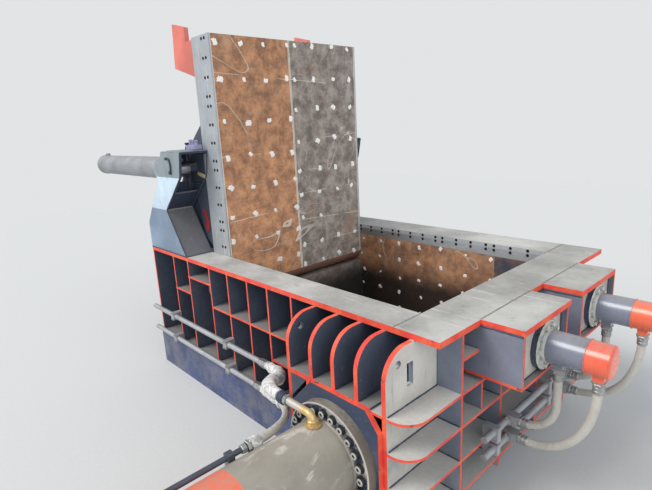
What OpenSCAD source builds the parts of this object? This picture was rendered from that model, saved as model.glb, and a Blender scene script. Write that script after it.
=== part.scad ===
// Hydraulic side-discharge scrap baler with a swinging lid.
// Origin: on the floor, under the centre of the chamber. +X runs to the lid-lock end,
// +Y to the discharge side, +Z up. The lid is modelled standing open.

/* [Chamber] */
// Inside length of the chamber, from the side ram's face to the end liner
chamber_l = 2000; // [1700:10:2300]
// Inside width of the chamber between the side liners
chamber_w = 1650; // [1500:10:1800]
// Height of the flat top plates above the ground
top_z = 1200; // [1150:5:1300]
// Height of the chamber floor above the ground
floor_z = 150; // [130:5:170]
// Thickness of the structural wall plates
wall_t = 30; // [20:1:40]
// Thickness of the wear liners
liner_t = 20; // [12:1:25]

/* [Top plates] */
// Thickness of the top plates
flange_t = 35; // [25:1:40]
// Width of the near top plate beyond the chamber
near_flange_w = 249; // [230:1:280]
// Width of the far top plate beyond the chamber
far_flange_w = 315; // [290:1:340]
// Width of the end top plate beyond the chamber
end_flange_w = 292; // [270:1:320]
// Length of the housing behind the side ram's rest face
left_l = 990; // [950:10:1100]

/* [Ribs] */
// Thickness of the rib and shelf plates
rib_t = 16; // [10:1:20]
// Thickness of the deep ribs and of the main shelves
deep_rib_t = 28; // [18:1:32]
// Reach of the deep ribs beyond the near top plate
deep_reach = 233; // [200:1:260]
// Corner radius of the deep ribs
deep_r = 165; // [100:5:190]
// Height of the stringer along the near side
stringer_z = 830; // [780:5:860]
// Height of the lower stringer and of the second shelf
stringer2_z = 620; // [580:5:660]

/* [Main ram] */
// Width of the main ram and of its channel's working space
ram_w = 436; // [420:2:450]
// Height of the rams
ram_h = 648; // [600:2:650]
// Length of the main ram
main_ram_l = 436; // [400:2:440]
// Radius of the main cylinder's tube
main_tube_r = 226; // [210:1:240]
// Radius of the main cylinder's flange
main_flange_r = 312; // [300:1:320]
// Thickness of the main cylinder's flange
main_flange_t = 60; // [45:1:75]
// Length of the main cylinder behind its flange
main_tube_l = 1160; // [1100:10:1300]
// Radius of the main rod
main_rod_r = 150; // [120:1:160]
// Number of bolts on the main flange
main_bolts = 24; // [16:2:30]
// Radius of the main flange bolts' circle
main_bolt_pcr = 270; // [262:1:280]

/* [Side ram] */
// Length of the side ram
side_ram_l = 437; // [400:1:440]
// Radius of the side cylinder's tube
side_tube_r = 170; // [150:1:190]
// Length of the side cylinder
side_tube_l = 1720; // [1700:10:1850]
// Radius of the side rod
side_rod_r = 110; // [80:1:120]

/* [Lid] */
// Length of the lid from its hinge line to its tip
lid_l = 2083; // [1800:1:2083]
// Thickness of the lid frame with its liner
lid_t = 263; // [240:1:280]
// Distance of the hinge line from the lid's inner face
lid_hinge_in = 97; // [90:1:110]
// Height of the hinge line above the rams
hinge_rise = 112; // [105:1:130]
// Radius of the hinge pins
hinge_r = 60; // [45:1:70]
// Gap between the lid's edge strips and the side liners
lid_side_gap = 5; // [4:1:15]
// Thickness of the bolted edge strips
edge_strip_t = 15; // [10:1:20]

/* [Lid cylinders] */
// Height of the lid cylinders' axis
lid_cyl_z = 1950; // [1930:1:1960]
// Radius of the lid cylinders' tubes
lid_tube_r = 100; // [90:1:104]
// Length of the lid cylinders' tubes
lid_tube_l = 1700; // [1690:10:1800]
// Radius of the lid cylinders' rods
lid_rod_r = 50; // [40:1:58]
// Radius of the pin in the rod eye
eye_pin_r = 38; // [30:1:40]

/* [Lid locks] */
// Height of the lock cylinders' axis
lock_z = 1021; // [1015:1:1024]
// Radius of the lock pins
lock_pin_r = 70; // [60:1:74]
// Length of the lock pins
lock_pin_l = 325; // [300:1:340]
// Radius of the lock cylinders' tubes
lock_tube_r = 90; // [84:1:96]
// Length of the lock cylinders
lock_tube_l = 358; // [350:1:410]
// Reach of the lock boxes beyond the end top plate
lock_box_l = 244; // [220:1:260]
// Depth of the lock boxes below the top plate's upper face
lock_box_h = 340; // [330:1:350]

/* [Gate] */
// Thickness of the discharge gate
gate_t = 60; // [40:1:64]
// Overlap of the gate on each side of its opening
gate_lap = 20; // [15:1:30]

/* [Hidden] */
$fn = 48;

// Clearances: a sliding face, and a shaft or pin in its bore
slide_gap = 2;
run_gap = 0.05;
// Chamber planes
x_in = chamber_l / 2;
y_in = chamber_w / 2;
flange_z = top_z - flange_t;
plate_y = y_in + liner_t;
out_y = plate_y + wall_t;
plate_x = x_in + liner_t;
out_x = plate_x + wall_t;
near_y = y_in + near_flange_w;
far_y = y_in + far_flange_w;
end_x = x_in + end_flange_w;
left_x = -x_in - left_l;
wall_z = floor_z - liner_t;
lintel_z = floor_z + ram_h + 44;
deep_y = near_y + deep_reach;
sill_h = 340;
// Main ram channel: its jambs and centre
ram_x1 = x_in - slide_gap;
ram_x0 = ram_x1 - ram_w;
main_x = (ram_x0 + ram_x1) / 2;
main_z = floor_z + slide_gap + ram_h / 2;
channel_x0 = ram_x0 - slide_gap;
channel_x1 = x_in + slide_gap;
ram_top = floor_z + slide_gap + ram_h;
mount_t = 33;
main_y = -deep_y - mount_t - main_flange_t;
main_back = main_y - main_tube_l;
port_y = main_y - 70;
main_bore_r = main_tube_r - 46;
rear_pipe_x = main_x - 163;
rear_pipe_z = main_z + 196;
rear_pipe_y = main_y - 400;
rear_pad_z = main_z + main_tube_r * 0.79;
// Side ram
ram_rest_gap = 3;
hinge_z = ram_top + hinge_rise;
side_x = -x_in - ram_rest_gap;
side_back = side_x - side_ram_l;
side_z = floor_z + slide_gap + ram_h / 2;
bulkhead_x = side_back - 60;
// Lid, at rest standing upright
hinge_x = -x_in - lid_hinge_in;
lid_face = -x_in;
lid_back = lid_face - lid_t;
lid_top = hinge_z + lid_l;
lid_edge = y_in - lid_side_gap;
lid_frame_y = lid_edge - edge_strip_t;
hub_r = lid_hinge_in - 2;
seam_y = -25;
// Lid drive
side_axis_y = (y_in + near_y) / 2;
eye_x = hinge_x - 353;
trunnion_x = eye_x - 190;
eye_r = eye_pin_r + 24;
eye_w = 120;
head_plate_t = 16;
// Lid locks
lock_near_y = -396;
lock_far_y = 362;
lock_box_x = end_x + lock_box_l;
lock_face_x = lock_box_x - 36;
lock_front_t = 25;
lock_rest_x = x_in + 5;
lock_box_z = top_z - lock_box_h;
end_top_z = lock_box_z - 18;
lock_ports = [lock_face_x + 100, lock_face_x + lock_tube_l - 55];
// Gate
gate_x0 = channel_x0 - gate_lap;
gate_x1 = channel_x1 + gate_lap;
gate_y = out_y + 5;
gate_travel = 540;
gate_z0 = floor_z - 8;
gate_z1 = lintel_z - 8;
// Paint and metal colours
paint = "#3d4656";
grime = "#6b6d70";
rust = "#8a5a3c";
red = "#e2533a";
steel = "#b9bcbf";
primer = "#a59f90";
sleeve = "#cfcbc3";

// Box between two corners
module block(x, y, z)
    translate([x[0], y[0], z[0]]) cube([x[1] - x[0], y[1] - y[0], z[1] - z[0]]);

// Round bars along the three axes
module bar_x(x, y, z, r) translate([x[0], y, z]) rotate([0, 90, 0]) cylinder(h = x[1] - x[0], r = r);
module bar_y(x, y, z, r) translate([x, y[0], z]) rotate([-90, 0, 0]) cylinder(h = y[1] - y[0], r = r);
module bar_z(x, y, z, r) translate([x, y, z[0]]) cylinder(h = z[1] - z[0], r = r);

// Outline in X and Z, thickened along Y from y[0] to y[1]
module slab_y(points, y)
    translate([0, y[1], 0]) rotate([90, 0, 0]) linear_extrude(y[1] - y[0]) polygon(points);

// Tube swept along a route of points, as one closed skin
function unit(v) = v / norm(v);
function tangent(p, i) = unit(p[min(i + 1, len(p) - 1)] - p[max(i - 1, 0)]);
function side_dir(t) = unit(cross(t, abs(t[2]) > 0.9 ? [0, 1, 0] : [0, 0, 1]));
module swept_tube(route, r, sides = 8) {
    rings = [for (i = [0 : len(route) - 1])
        let (t = tangent(route, i), u = side_dir(t), v = cross(t, u))
        [for (k = [0 : sides - 1]) route[i] + r * (cos(360 * k / sides) * u + sin(360 * k / sides) * v)]];
    skin = [for (i = [0 : len(route) - 2], k = [0 : sides - 1])
        let (a = i * sides, n = (k + 1) % sides) [a + n, a + k, a + sides + k, a + sides + n]];
    caps = [[for (k = [0 : sides - 1]) k],
        [for (k = [0 : sides - 1]) len(route) * sides - 1 - k]];
    polyhedron(points = [for (ring = rings, q = ring) q], faces = concat(skin, caps), convexity = 6);
}

module base_frame() color(paint) {
    for (x = [left_x, left_x + 690, lid_face + 380, -80, out_x - 160])
        block([x, x + 160], [-out_y, out_y], [0, wall_z - 30]);
    block([channel_x0 - 30, channel_x1 + 30], [-deep_y, -out_y - 1], [0, wall_z]);
}

module side_sills() color(paint) {
    for (y = [[-near_y - 20, -out_y], [out_y, far_y]])
        block([left_x, y[0] < 0 ? first_rib_x - 24 : gate_x0 - gate_travel - 50], y, [0, sill_h]);
}

module floor_plate() color(grime)
    union() {
        block([left_x, out_x], [-out_y, out_y], [wall_z - 30, wall_z]);
        block([left_x + wall_t, x_in], [-y_in, y_in], [wall_z, floor_z]);
    }

// Upright stiffeners of the near side and their stringers
near_ribs = [hinge_x - 467, hinge_x - 197, lid_face + 70, lid_face + 344, lid_face + 617, lid_face + 866,
    lid_face + 1133];
first_rib_x = lid_face + 1374;
module near_wall() color(paint) difference() {
    union() {
        block([left_x, channel_x0 - wall_t], [-out_y, -plate_y], [wall_z, flange_z]);
        for (x = concat([left_x + rib_t / 2], near_ribs))
            block([x - rib_t / 2, x + rib_t / 2], [-near_y, -out_y], [sill_h, flange_z]);
        block([near_ribs[2], first_rib_x - deep_rib_t / 2], [-near_y, -out_y],
            [stringer_z - rib_t / 2, stringer_z + rib_t / 2]);
        block([near_ribs[5], first_rib_x - deep_rib_t / 2], [-near_y, -out_y],
            [stringer2_z - rib_t / 2, stringer2_z + rib_t / 2]);
        block([near_ribs[1] - rib_t, near_ribs[2]], [-near_y, -out_y], [hinge_z + 101, hinge_z + 101 + rib_t]);
        block([near_ribs[0] - rib_t, near_ribs[1]], [-near_y, -out_y], [hinge_z - 56, hinge_z - 56 + rib_t]);
        bar_y(hinge_x, [-out_y - 60, -plate_y], hinge_z, hinge_r + 45);
        // First deep rib, left of the channel
        deep_rib(first_rib_x, lintel_z);
    }
    lifting_hole(first_rib_x);
    bar_y(hinge_x, [-near_y, -y_in], hinge_z, hinge_r + run_gap);
}

// Rib plate that reaches beyond the near top plate, rounded at its upper outer corner
module lifting_hole(x) bar_x([x - deep_rib_t, x + deep_rib_t], -deep_y + 100, flange_z - 84, 22);
module deep_rib(x, z0, y_end = out_y)
    translate([x + deep_rib_t / 2, 0, 0]) rotate([0, -90, 0]) linear_extrude(deep_rib_t)
        polygon(concat([[z0, -y_end], [z0, -deep_y]],
            [for (a = [0 : 7.5 : 90]) [flange_z - deep_r * (1 - sin(a)), -deep_y + deep_r * (1 - cos(a))]],
            [[flange_z, -y_end]]));

deep_ribs = [channel_x0 + 18, channel_x0 + 201, channel_x0 + 376];
module ram_bridge() color(paint) union() {
    block([channel_x0 - wall_t, out_x], [-out_y, -plate_y], [lintel_z, flange_z]);
    for (x = deep_ribs)
        deep_rib(x, lintel_z);
}

module main_housing() color(paint) union() {
    for (x = [channel_x0 - wall_t, channel_x1])
        block([x, x + wall_t], [-deep_y, -plate_y], [wall_z, lintel_z - wall_t]);
    block([first_rib_x - deep_rib_t / 2, channel_x1 + wall_t], [-deep_y, -out_y], [lintel_z - wall_t, lintel_z]);
    block([channel_x0, channel_x1], [-deep_y, -out_y], [wall_z, floor_z]);
    block([first_rib_x - deep_rib_t / 2, first_rib_x + deep_rib_t / 2], [-deep_y, -out_y],
        [wall_z, lintel_z - wall_t + 1]);
    // Gusset under the upper shelf, left of the channel
    slab_y([[first_rib_x, lintel_z - wall_t], [channel_x0 - wall_t, lintel_z - wall_t],
        [first_rib_x, lintel_z - 200]], [-deep_y, -deep_y + rib_t]);
}

// Shelf plate round the near right corner
shelf_r = 130;
end_shelf_z = 400;
module corner_shelf(z, y_far) translate([0, 0, z])
    linear_extrude(rib_t) {
        polygon([[channel_x1 + wall_t, -deep_y], [end_x - shelf_r, -deep_y],
            [end_x, -deep_y + shelf_r], [end_x, y_far], [out_x, y_far], [out_x, -out_y],
            [channel_x1 + wall_t, -out_y]]);
        translate([end_x - shelf_r, -deep_y + shelf_r]) circle(r = shelf_r);
    }

end_rib_x = out_x + 74;
module end_frame() color(paint) difference() {
    union() {
        block([plate_x, out_x], [-plate_y, plate_y], [wall_z, flange_z]);
        block([out_x, out_x + wall_t], [-out_y, out_y], [wall_z, lock_box_z - 40]);
        for (z = [end_top_z - wall_t, stringer2_z - rib_t / 2, end_shelf_z, 190])
            corner_shelf(z, y_in);
        // End rib, full height, with its lifting hole and slot
        difference() {
            deep_rib(end_rib_x, wall_z);
            lifting_hole(end_rib_x);
            block([end_rib_x - deep_rib_t, end_rib_x + deep_rib_t], [-deep_y + 170, -deep_y + 220],
                [flange_z - 235, flange_z - 105]);
        }
        for (y = [-855, -420, 80, 560])
            block([out_x, end_x], [y - rib_t, y], [wall_z, y < -800 ? flange_z : end_top_z]);
        block([out_x, end_x - 12], [-625 - rib_t, -625], [stringer2_z, end_top_z]);
        block([out_x, end_x], [-855, -700], [1021 - rib_t / 2, 1021 + rib_t / 2]);
    }
    for (y = [lock_near_y, lock_far_y])
        bar_x([x_in, out_x + 1], y, lock_z, lock_pin_r + 2);
}

module end_liner() color(rust) difference() {
    block([x_in, plate_x], [-y_in, y_in], [floor_z, flange_z]);
    for (y = [lock_near_y, lock_far_y])
        bar_x([x_in - 1, plate_x + 1], y, lock_z, lock_pin_r + 2);
}

module near_liner() color(rust) difference() {
    block([left_x + wall_t, channel_x0], [-plate_y, -y_in], [floor_z, flange_z]);
    bar_y(hinge_x, [-plate_y - 1, -y_in + 1], hinge_z, hinge_r + 2);
}

// Blades over the ram channel and over the discharge
module shear_blades() color(steel)
    for (y = [[-plate_y, -y_in], [y_in, plate_y]])
        block([channel_x0 + 1, plate_x], y, [ram_top + 6, flange_z]);

far_ribs = [for (i = [0 : 4]) near_ribs[i]];
module far_wall() color(paint) difference() {
    union() {
        block([left_x, channel_x0 - wall_t], [plate_y, out_y], [wall_z, flange_z]);
        for (x = concat([left_x + rib_t / 2], far_ribs))
            block([x - rib_t / 2, x + rib_t / 2], [out_y, far_y], [sill_h, flange_z]);
        for (x = [near_ribs[5], near_ribs[6], channel_x0 - 160])
            block([x - rib_t / 2, x + rib_t / 2], [out_y, far_y], [gate_z1 + 40, flange_z]);
        bar_y(hinge_x, [plate_y, out_y + 60], hinge_z, hinge_r + 45);
    }
    bar_y(hinge_x, [y_in, far_y], hinge_z, hinge_r + run_gap);
    // Way for the gate cylinder through the stiffeners
    bar_x([gate_front - 720, gate_front], gate_axis_y, gate_axis_z, gate_tube_r + 14);
}

module far_lintel() color(paint) union() {
    block([channel_x0 - wall_t, out_x], [plate_y, out_y], [lintel_z, flange_z]);
    block([channel_x1, out_x], [plate_y, out_y], [wall_z, lintel_z]);
    for (x = deep_ribs)
        block([x - deep_rib_t / 2, x + deep_rib_t / 2], [out_y, far_y], [gate_z1 + 40, flange_z]);
}

module far_liner() color(rust) difference() {
    block([left_x + wall_t, channel_x0], [y_in, plate_y], [floor_z, flange_z - 72]);
    bar_y(hinge_x, [y_in - 1, plate_y + 1], hinge_z, hinge_r + 2);
}

module far_top_strip() color(steel)
    block([lid_back - 40, channel_x0], [y_in, plate_y], [flange_z - 70, flange_z]);

module top_near() color(grime) block([left_x, x_in], [-near_y, -y_in], [flange_z, top_z]);
module top_far() color(grime) block([left_x, x_in], [y_in, far_y], [flange_z, top_z]);
module top_left() color(grime)
    block([left_x, lid_back - 47], [-y_in, y_in], [flange_z, top_z]);

// End top plate with a tongue over each lock box
tongues = [[-693, -100], [73, 656]];
lock_boxes = [[-693, -140], [73, 656]];
module top_end() color(grime) union() {
    block([x_in, end_x], [-near_y, far_y], [flange_z, top_z]);
    for (y = tongues)
        block([end_x, lock_box_x], y, [flange_z, top_z]);
}

// Lock box: a welded case with a bored front plate and a guide for the lock pin
module lock_box(y, axis_y) color(paint) difference() {
    union() {
        for (side = [y[0], y[1] - rib_t])
            block([out_x, lock_box_x], [side, side + rib_t], [lock_box_z, flange_z]);
        block([out_x, lock_box_x], y, [lock_box_z, lock_box_z + rib_t]);
        block([lock_face_x - lock_front_t, lock_face_x], y, [lock_box_z, flange_z]);
        bar_x([out_x, out_x + 200], axis_y, lock_z, lock_pin_r + 30);
        block([out_x + 40, out_x + 60], y, [lock_box_z, flange_z]);
    }
    bar_x([out_x - 1, out_x + 201], axis_y, lock_z, lock_pin_r + run_gap);
    bar_x([lock_face_x - lock_front_t - 1, lock_face_x + 1], axis_y, lock_z, lock_pin_r + 6);
}
module lock_box_near() lock_box(lock_boxes[0], lock_near_y);
module lock_box_far() lock_box(lock_boxes[1], lock_far_y);

// Hydraulic cylinder body along +X from its front face at x0: flange, tube, gland bore
module cylinder_body(x0, length, r, rod_r, flange_r, flange_len, bolts, bolt_r) {
    bore_r = r * 0.78;
    difference() {
        union() {
            bar_x([x0, x0 + length], 0, 0, r);
            bar_x([x0, x0 + flange_len], 0, 0, flange_r);
            if (bolts > 0)
                for (k = [0 : bolts - 1])
                    rotate([360 * (k + 0.5) / bolts, 0, 0])
                        translate([x0 + flange_len, 0, (r + flange_r) / 2])
                            rotate([0, 90, 0]) cylinder(h = bolt_r * 1.2, r = bolt_r, $fn = 6);
        }
        bar_x([x0 - 1, x0 + flange_len + 12], 0, 0, rod_r + run_gap);
        bar_x([x0 + flange_len + 10, x0 + length - 35], 0, 0, bore_r);
    }
}

module lock_cylinder(y) color(paint) translate([0, y, lock_z]) union() {
    cylinder_body(lock_face_x, lock_tube_l, lock_tube_r, 45, lock_tube_r + 53, 30, 10, 15);
    // Port blocks under the tube
    for (x = lock_ports)
        block([x - 28, x + 28], [-28, 28], [-lock_tube_r - 40, -lock_tube_r + 14]);
}
module lock_cylinder_near() lock_cylinder(lock_near_y);
module lock_cylinder_far() lock_cylinder(lock_far_y);

module lock_pin(y) color(steel) translate([0, y, lock_z]) union() {
    bar_x([lock_rest_x, lock_rest_x + lock_pin_l], 0, 0, lock_pin_r);
    bar_x([lock_rest_x + lock_pin_l, lock_face_x + lock_tube_l - 45], 0, 0, 45);
    bar_x([lock_face_x + lock_tube_l - 75, lock_face_x + lock_tube_l - 45], 0, 0,
        lock_tube_r * 0.78 - run_gap);
}
module lock_pin_near() lock_pin(lock_near_y);
module lock_pin_far() lock_pin(lock_far_y);

module main_mount_plate() color(paint) difference() {
    slab_y([[channel_x0 - 125, wall_z], [channel_x1 + 108, wall_z], [channel_x1 + 108, lintel_z - 105],
        [channel_x1 + 24, lintel_z], [channel_x0 + 45, lintel_z], [channel_x0 - 125, lintel_z - 177]],
        [-deep_y - mount_t, -deep_y]);
    bar_y(main_x, [-deep_y - mount_t - 1, -deep_y + 1], main_z, main_rod_r + 12);
}

module main_cylinder() color(primer) difference() {
    union() {
        bar_y(main_x, [main_back, main_y], main_z, main_tube_r);
        bar_y(main_x, [main_y, -deep_y - mount_t], main_z, main_flange_r);
        // Port boss on top of the tube
        bar_z(elbow_x, port_y, [main_z + main_tube_r - 30, elbow_z], 42);
        // Block where the thin pipe enters behind the piston
        block([rear_pipe_x - 28, rear_pipe_x + 28], [main_back + 60, main_back + 120],
            [main_z + main_tube_r * 0.56, rear_pipe_z + 28]);
        // Pad under the bracket of the thin pipe
        block([rear_pipe_x - 22, rear_pipe_x + 22], [rear_pipe_y - 120, rear_pipe_y - 80],
            [main_z + main_tube_r * 0.56, rear_pad_z]);
    }
    bar_y(main_x, [main_y - 21, -deep_y - mount_t + 1], main_z, main_rod_r + run_gap);
    bar_y(main_x, [main_back + 60, main_y - 20], main_z, main_bore_r);
}

// Bolt heads of the main flange
module main_flange_bolts() color("#2e3034")
    for (k = [0 : main_bolts - 1])
        translate([main_x, main_y, main_z]) rotate([0, 360 * k / main_bolts, 0])
            translate([0, 0, main_bolt_pcr]) rotate([90, 0, 0]) cylinder(h = 26, r = 24, $fn = 6);

// Brass-coloured elbow on the port boss
elbow_z = main_z + main_tube_r + 10;
elbow_x = main_x - 14;
elbow_bend = 40;
elbow_r = 22;
elbow_end_x = elbow_x - elbow_bend - 165;
elbow_axis_z = elbow_z + 11 + elbow_bend;
module main_elbow() color("#c8a24a") union() {
    bar_z(elbow_x, port_y, [elbow_z, elbow_z + 12], elbow_r + 9);
    translate([elbow_x - elbow_bend, port_y, elbow_z + 11]) rotate([90, 0, 0])
        rotate_extrude(angle = 90) translate([elbow_bend, 0]) circle(r = elbow_r);
    bar_x([elbow_end_x, elbow_x - elbow_bend + 0.5], port_y, elbow_axis_z, elbow_r);
}

module main_ram() color(grime) union() {
    block([ram_x0, ram_x1], [-y_in - ram_rest_gap - main_ram_l, -y_in - ram_rest_gap],
        [floor_z + slide_gap, ram_top]);
}

module main_rod() color(steel) union() {
    bar_y(main_x, [main_back + 72, -y_in - ram_rest_gap - main_ram_l], main_z, main_rod_r);
    bar_y(main_x, [main_back + 72, main_back + 152], main_z, main_bore_r - run_gap);
}

module left_end_plate() color(paint) difference() {
    block([left_x, left_x + wall_t], [-plate_y, plate_y], [wall_z, flange_z]);
    bar_x([left_x - 1, left_x + wall_t + 1], 0, side_z, side_tube_r + 8);
}

module side_bulkhead() color(paint) difference() {
    block([bulkhead_x, bulkhead_x + 50], [-y_in, y_in], [floor_z, flange_z]);
    bar_x([bulkhead_x - 1, bulkhead_x + 51], 0, side_z, side_rod_r + 10);
}

module side_cylinder() color(primer) translate([bulkhead_x, 0, side_z]) mirror([1, 0, 0])
    cylinder_body(0, side_tube_l, side_tube_r, side_rod_r, side_tube_r + 60, 50, 12, 18);

module side_ram() color(grime)
    block([side_back, side_x], [-y_in + slide_gap, y_in - slide_gap], [floor_z + slide_gap, ram_top]);

module side_rod() color(steel) translate([0, 0, side_z]) union() {
    bar_x([bulkhead_x - side_tube_l + 45, side_back], 0, 0, side_rod_r);
    bar_x([bulkhead_x - side_tube_l + 45, bulkhead_x - side_tube_l + 125], 0, 0,
        side_tube_r * 0.78 - run_gap);
}

// Rails that carry the gate, under and over it, with lips outside it
module gate_rails() color(paint) {
    x = [gate_x0 - gate_travel - 40, gate_x1 + 30];
    block(x, [out_y, gate_y + gate_t + 25], [gate_z0 - 24, gate_z0 - slide_gap]);
    block(x, [gate_y + gate_t + 3, gate_y + gate_t + 25], [gate_z0 - slide_gap, gate_z0 + 40]);
    block(x, [out_y, gate_y + gate_t + 25], [gate_z1 + slide_gap, gate_z1 + 30]);
    block(x, [gate_y + gate_t + 3, gate_y + gate_t + 25], [gate_z1 - 40, gate_z1 + slide_gap]);
}

gate_axis_y = gate_y + gate_t + 50;
gate_axis_z = (gate_z0 + gate_z1) / 2;
module gate() color(grime) union() {
    block([gate_x0, gate_x1], [gate_y, gate_y + gate_t], [gate_z0, gate_z1]);
    block([gate_x0 + 10, gate_x0 + 60], [gate_y + gate_t, gate_axis_y + 40], [gate_axis_z - 45, gate_axis_z + 45]);
}

gate_tube_r = 48;
gate_front = gate_x0 - gate_travel - 70;
module gate_cylinder() color(paint) union() {
    translate([gate_front, gate_axis_y, gate_axis_z]) mirror([1, 0, 0])
        cylinder_body(0, gate_travel + 150, gate_tube_r, 25, gate_tube_r + 16, 30, 0, 0);
    for (x = [gate_front - 120, gate_front - 500])
        difference() {
            block([x - 20, x], [out_y, gate_axis_y + 30], [gate_axis_z - 70, gate_axis_z + 70]);
            bar_x([x - 21, x + 1], gate_axis_y, gate_axis_z, gate_tube_r - 1);
        }
}

module gate_rod() color(steel) translate([0, gate_axis_y, gate_axis_z]) union() {
    bar_x([gate_front - 85, gate_x0 + 10], 0, 0, 25);
    bar_x([gate_front - 85, gate_front - 45], 0, 0, gate_tube_r * 0.78 - run_gap);
}

// Tower on a side plate: two cheeks, a cranked front plate and a back plate, hollow inside and open
// at the mouth and at the upper back, where the lid cylinder passes
function from_hinge(p) = [for (q = p) [hinge_x + q[0], q[1]]];
back_dx = left_x - hinge_x;
tower_profile = from_hinge([[-193, top_z], [-468, 1594], [-139, 1892], [-93, 2100], [-454, 2100],
    [-520, 1885], [-784, 1584], [back_dx, 1440], [back_dx, top_z]]);
tower_cavity = from_hinge([[-213, top_z - 1], [-489, 1596], [-314, 1756], [-288, 1727], [-3, 1860], [-3, 2084],
    [-663, 2084], [-655, 1756], [-631, 1734], [-772, 1574], [back_dx + head_plate_t, 1435],
    [back_dx + head_plate_t, top_z - 1]]);
trunnion_tab = [[trunnion_x + 109, 2035], [trunnion_x - 20, 2035], [trunnion_x - 75, 1990],
    [trunnion_x - 75, 1900], [trunnion_x + 10, 1840], [trunnion_x + 60, 1820]];
cheeks = [[-near_y, -near_y + head_plate_t], [-y_in - head_plate_t - 1, -y_in - 1]];
module tower() color(paint) difference() {
    union() {
        slab_y(tower_profile, [-near_y, -y_in - 1]);
        for (y = cheeks)
            slab_y(trunnion_tab, y);
    }
    slab_y(tower_cavity, [cheeks[0][1], cheeks[1][0]]);
    // Slot in the inner cheek for the cross pin's way out
    block([eye_x - 60, hinge_x + 7], [cheeks[1][0] - 1, -y_in], [lid_cyl_z - 140, lid_cyl_z + 120]);
    bar_y(trunnion_x, [-near_y - 1, -y_in], lid_cyl_z, 40 + run_gap);
}
module tower_near() tower();
module tower_far() mirror([0, 1, 0]) tower();

module hinge_pins() color(steel)
    for (y = [[-out_y - 90, -lid_frame_y + pin_depth - 40], [lid_frame_y - pin_depth + 40, out_y + 90]])
        bar_y(hinge_x, y, hinge_z, hinge_r);

// Lid frame: a deep plate with a hub along its lower end, open pockets in its back,
// and a notch at the tip for each lock pin
pin_depth = 260;
pocket_d = lid_t - liner_t - 40;
notch_x = hinge_x + hinge_z - (lock_z - lock_pin_r - 6);
module lid_frame() color(paint) difference() {
    union() {
        block([lid_back, lid_face - liner_t], [-lid_frame_y, lid_frame_y], [hinge_z, lid_top]);
        bar_y(hinge_x, [-lid_frame_y, lid_frame_y], hinge_z, hub_r);
        block([lid_back, hinge_x], [-lid_frame_y, lid_frame_y], [hinge_z - hub_r, hinge_z]);
    }
    // Seat of the liner panels, and the hinge pins' bores
    block([lid_face - liner_t, lid_face], [-lid_edge, lid_edge], [hinge_z, hinge_z + hub_r]);
    for (y = [-lid_frame_y - 1, lid_frame_y - pin_depth])
        bar_y(hinge_x, [y, y + pin_depth + 1], hinge_z, hinge_r + run_gap);
    for (i = [0 : 2], j = [0 : 3])
        block([lid_back - 1, lid_back + pocket_d],
            [-lid_frame_y + 40 + i * (2 * lid_frame_y - 40) / 3, -lid_frame_y + i * (2 * lid_frame_y - 40) / 3
                + (2 * lid_frame_y - 40) / 3],
            [hinge_z + 170 + j * 400, hinge_z + 170 + j * 400 + 360]);
    for (y = [lock_near_y, lock_far_y])
        block([lid_back - 1, notch_x], [y - lock_pin_r - 10, y + lock_pin_r + 10],
            [lid_top - 250, lid_top + 1]);
}

// Wear liner panels on the inner face, parted at the seam
module lid_panel(y) block([lid_face - liner_t, lid_face], y, [hinge_z, lid_top]);
module lid_liner_near() color(rust) lid_panel([-lid_frame_y, seam_y - 1]);
module lid_liner_far() color(grime) lid_panel([seam_y + 1, lid_frame_y]);

module lid_strips() color(steel)
    for (y = [[-lid_edge, -lid_frame_y], [lid_frame_y, lid_edge]])
        difference() {
            block([lid_back, lid_face], y, [hinge_z, lid_top]);
            bar_y(hinge_x, [y[0] - 1, y[1] + 1], hinge_z, hinge_r + 2);
        }

// Red lugs behind the tip
lug_profile = [[lid_back, lid_top - 305], [lid_back, lid_top - 10], [lid_back - 130, lid_top - 10],
    [lid_back - 130, lid_top + 105], [lid_back - 330, lid_top + 160], [lid_back - 360, lid_top - 195]];
module lid_lugs() color(red)
    for (y = [-lid_frame_y, 550])
        slab_y(lug_profile, [y, y + 40]);

// Ears on the lid's back with the cross pins that reach over the side plates
ear_profile = [[lid_back, lid_cyl_z - 720], [lid_back - 150, lid_cyl_z - 620], [lid_back - 190, lid_cyl_z - 350],
    [eye_x - 100, lid_cyl_z - 160], [eye_x - 120, lid_cyl_z + 140], [lid_back - 120, lid_cyl_z + 290],
    [lid_back, lid_cyl_z + 380]];
module lid_ears() color(paint)
    for (s = [-1, 1]) {
        for (y = [lid_frame_y - 40, lid_frame_y - 240])
            slab_y(ear_profile, s > 0 ? [y, y + 40] : [-y - 40, -y]);
        bar_y(eye_x, s > 0 ? [lid_frame_y - 239, side_axis_y - eye_w / 2 - 2]
            : [-side_axis_y + eye_w / 2 + 2, -lid_frame_y + 239], lid_cyl_z, eye_pin_r);
    }

// Swivelling lid cylinder: its front is ahead of the trunnion
lid_front_x = trunnion_x + 75;
module lid_cylinder(s) color(primer) translate([0, s * side_axis_y, lid_cyl_z]) union() {
    translate([lid_front_x, 0, 0]) mirror([1, 0, 0])
        cylinder_body(0, lid_tube_l, lid_tube_r, lid_rod_r, lid_tube_r, 40, 0, 0);
    for (y = [[-side_axis_y + y_in + 1, -lid_tube_r + 8], [lid_tube_r - 8, near_y - side_axis_y]])
        bar_y(trunnion_x, y, 0, 40);
}
module lid_cylinder_near() lid_cylinder(-1);
module lid_cylinder_far() lid_cylinder(1);

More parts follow.
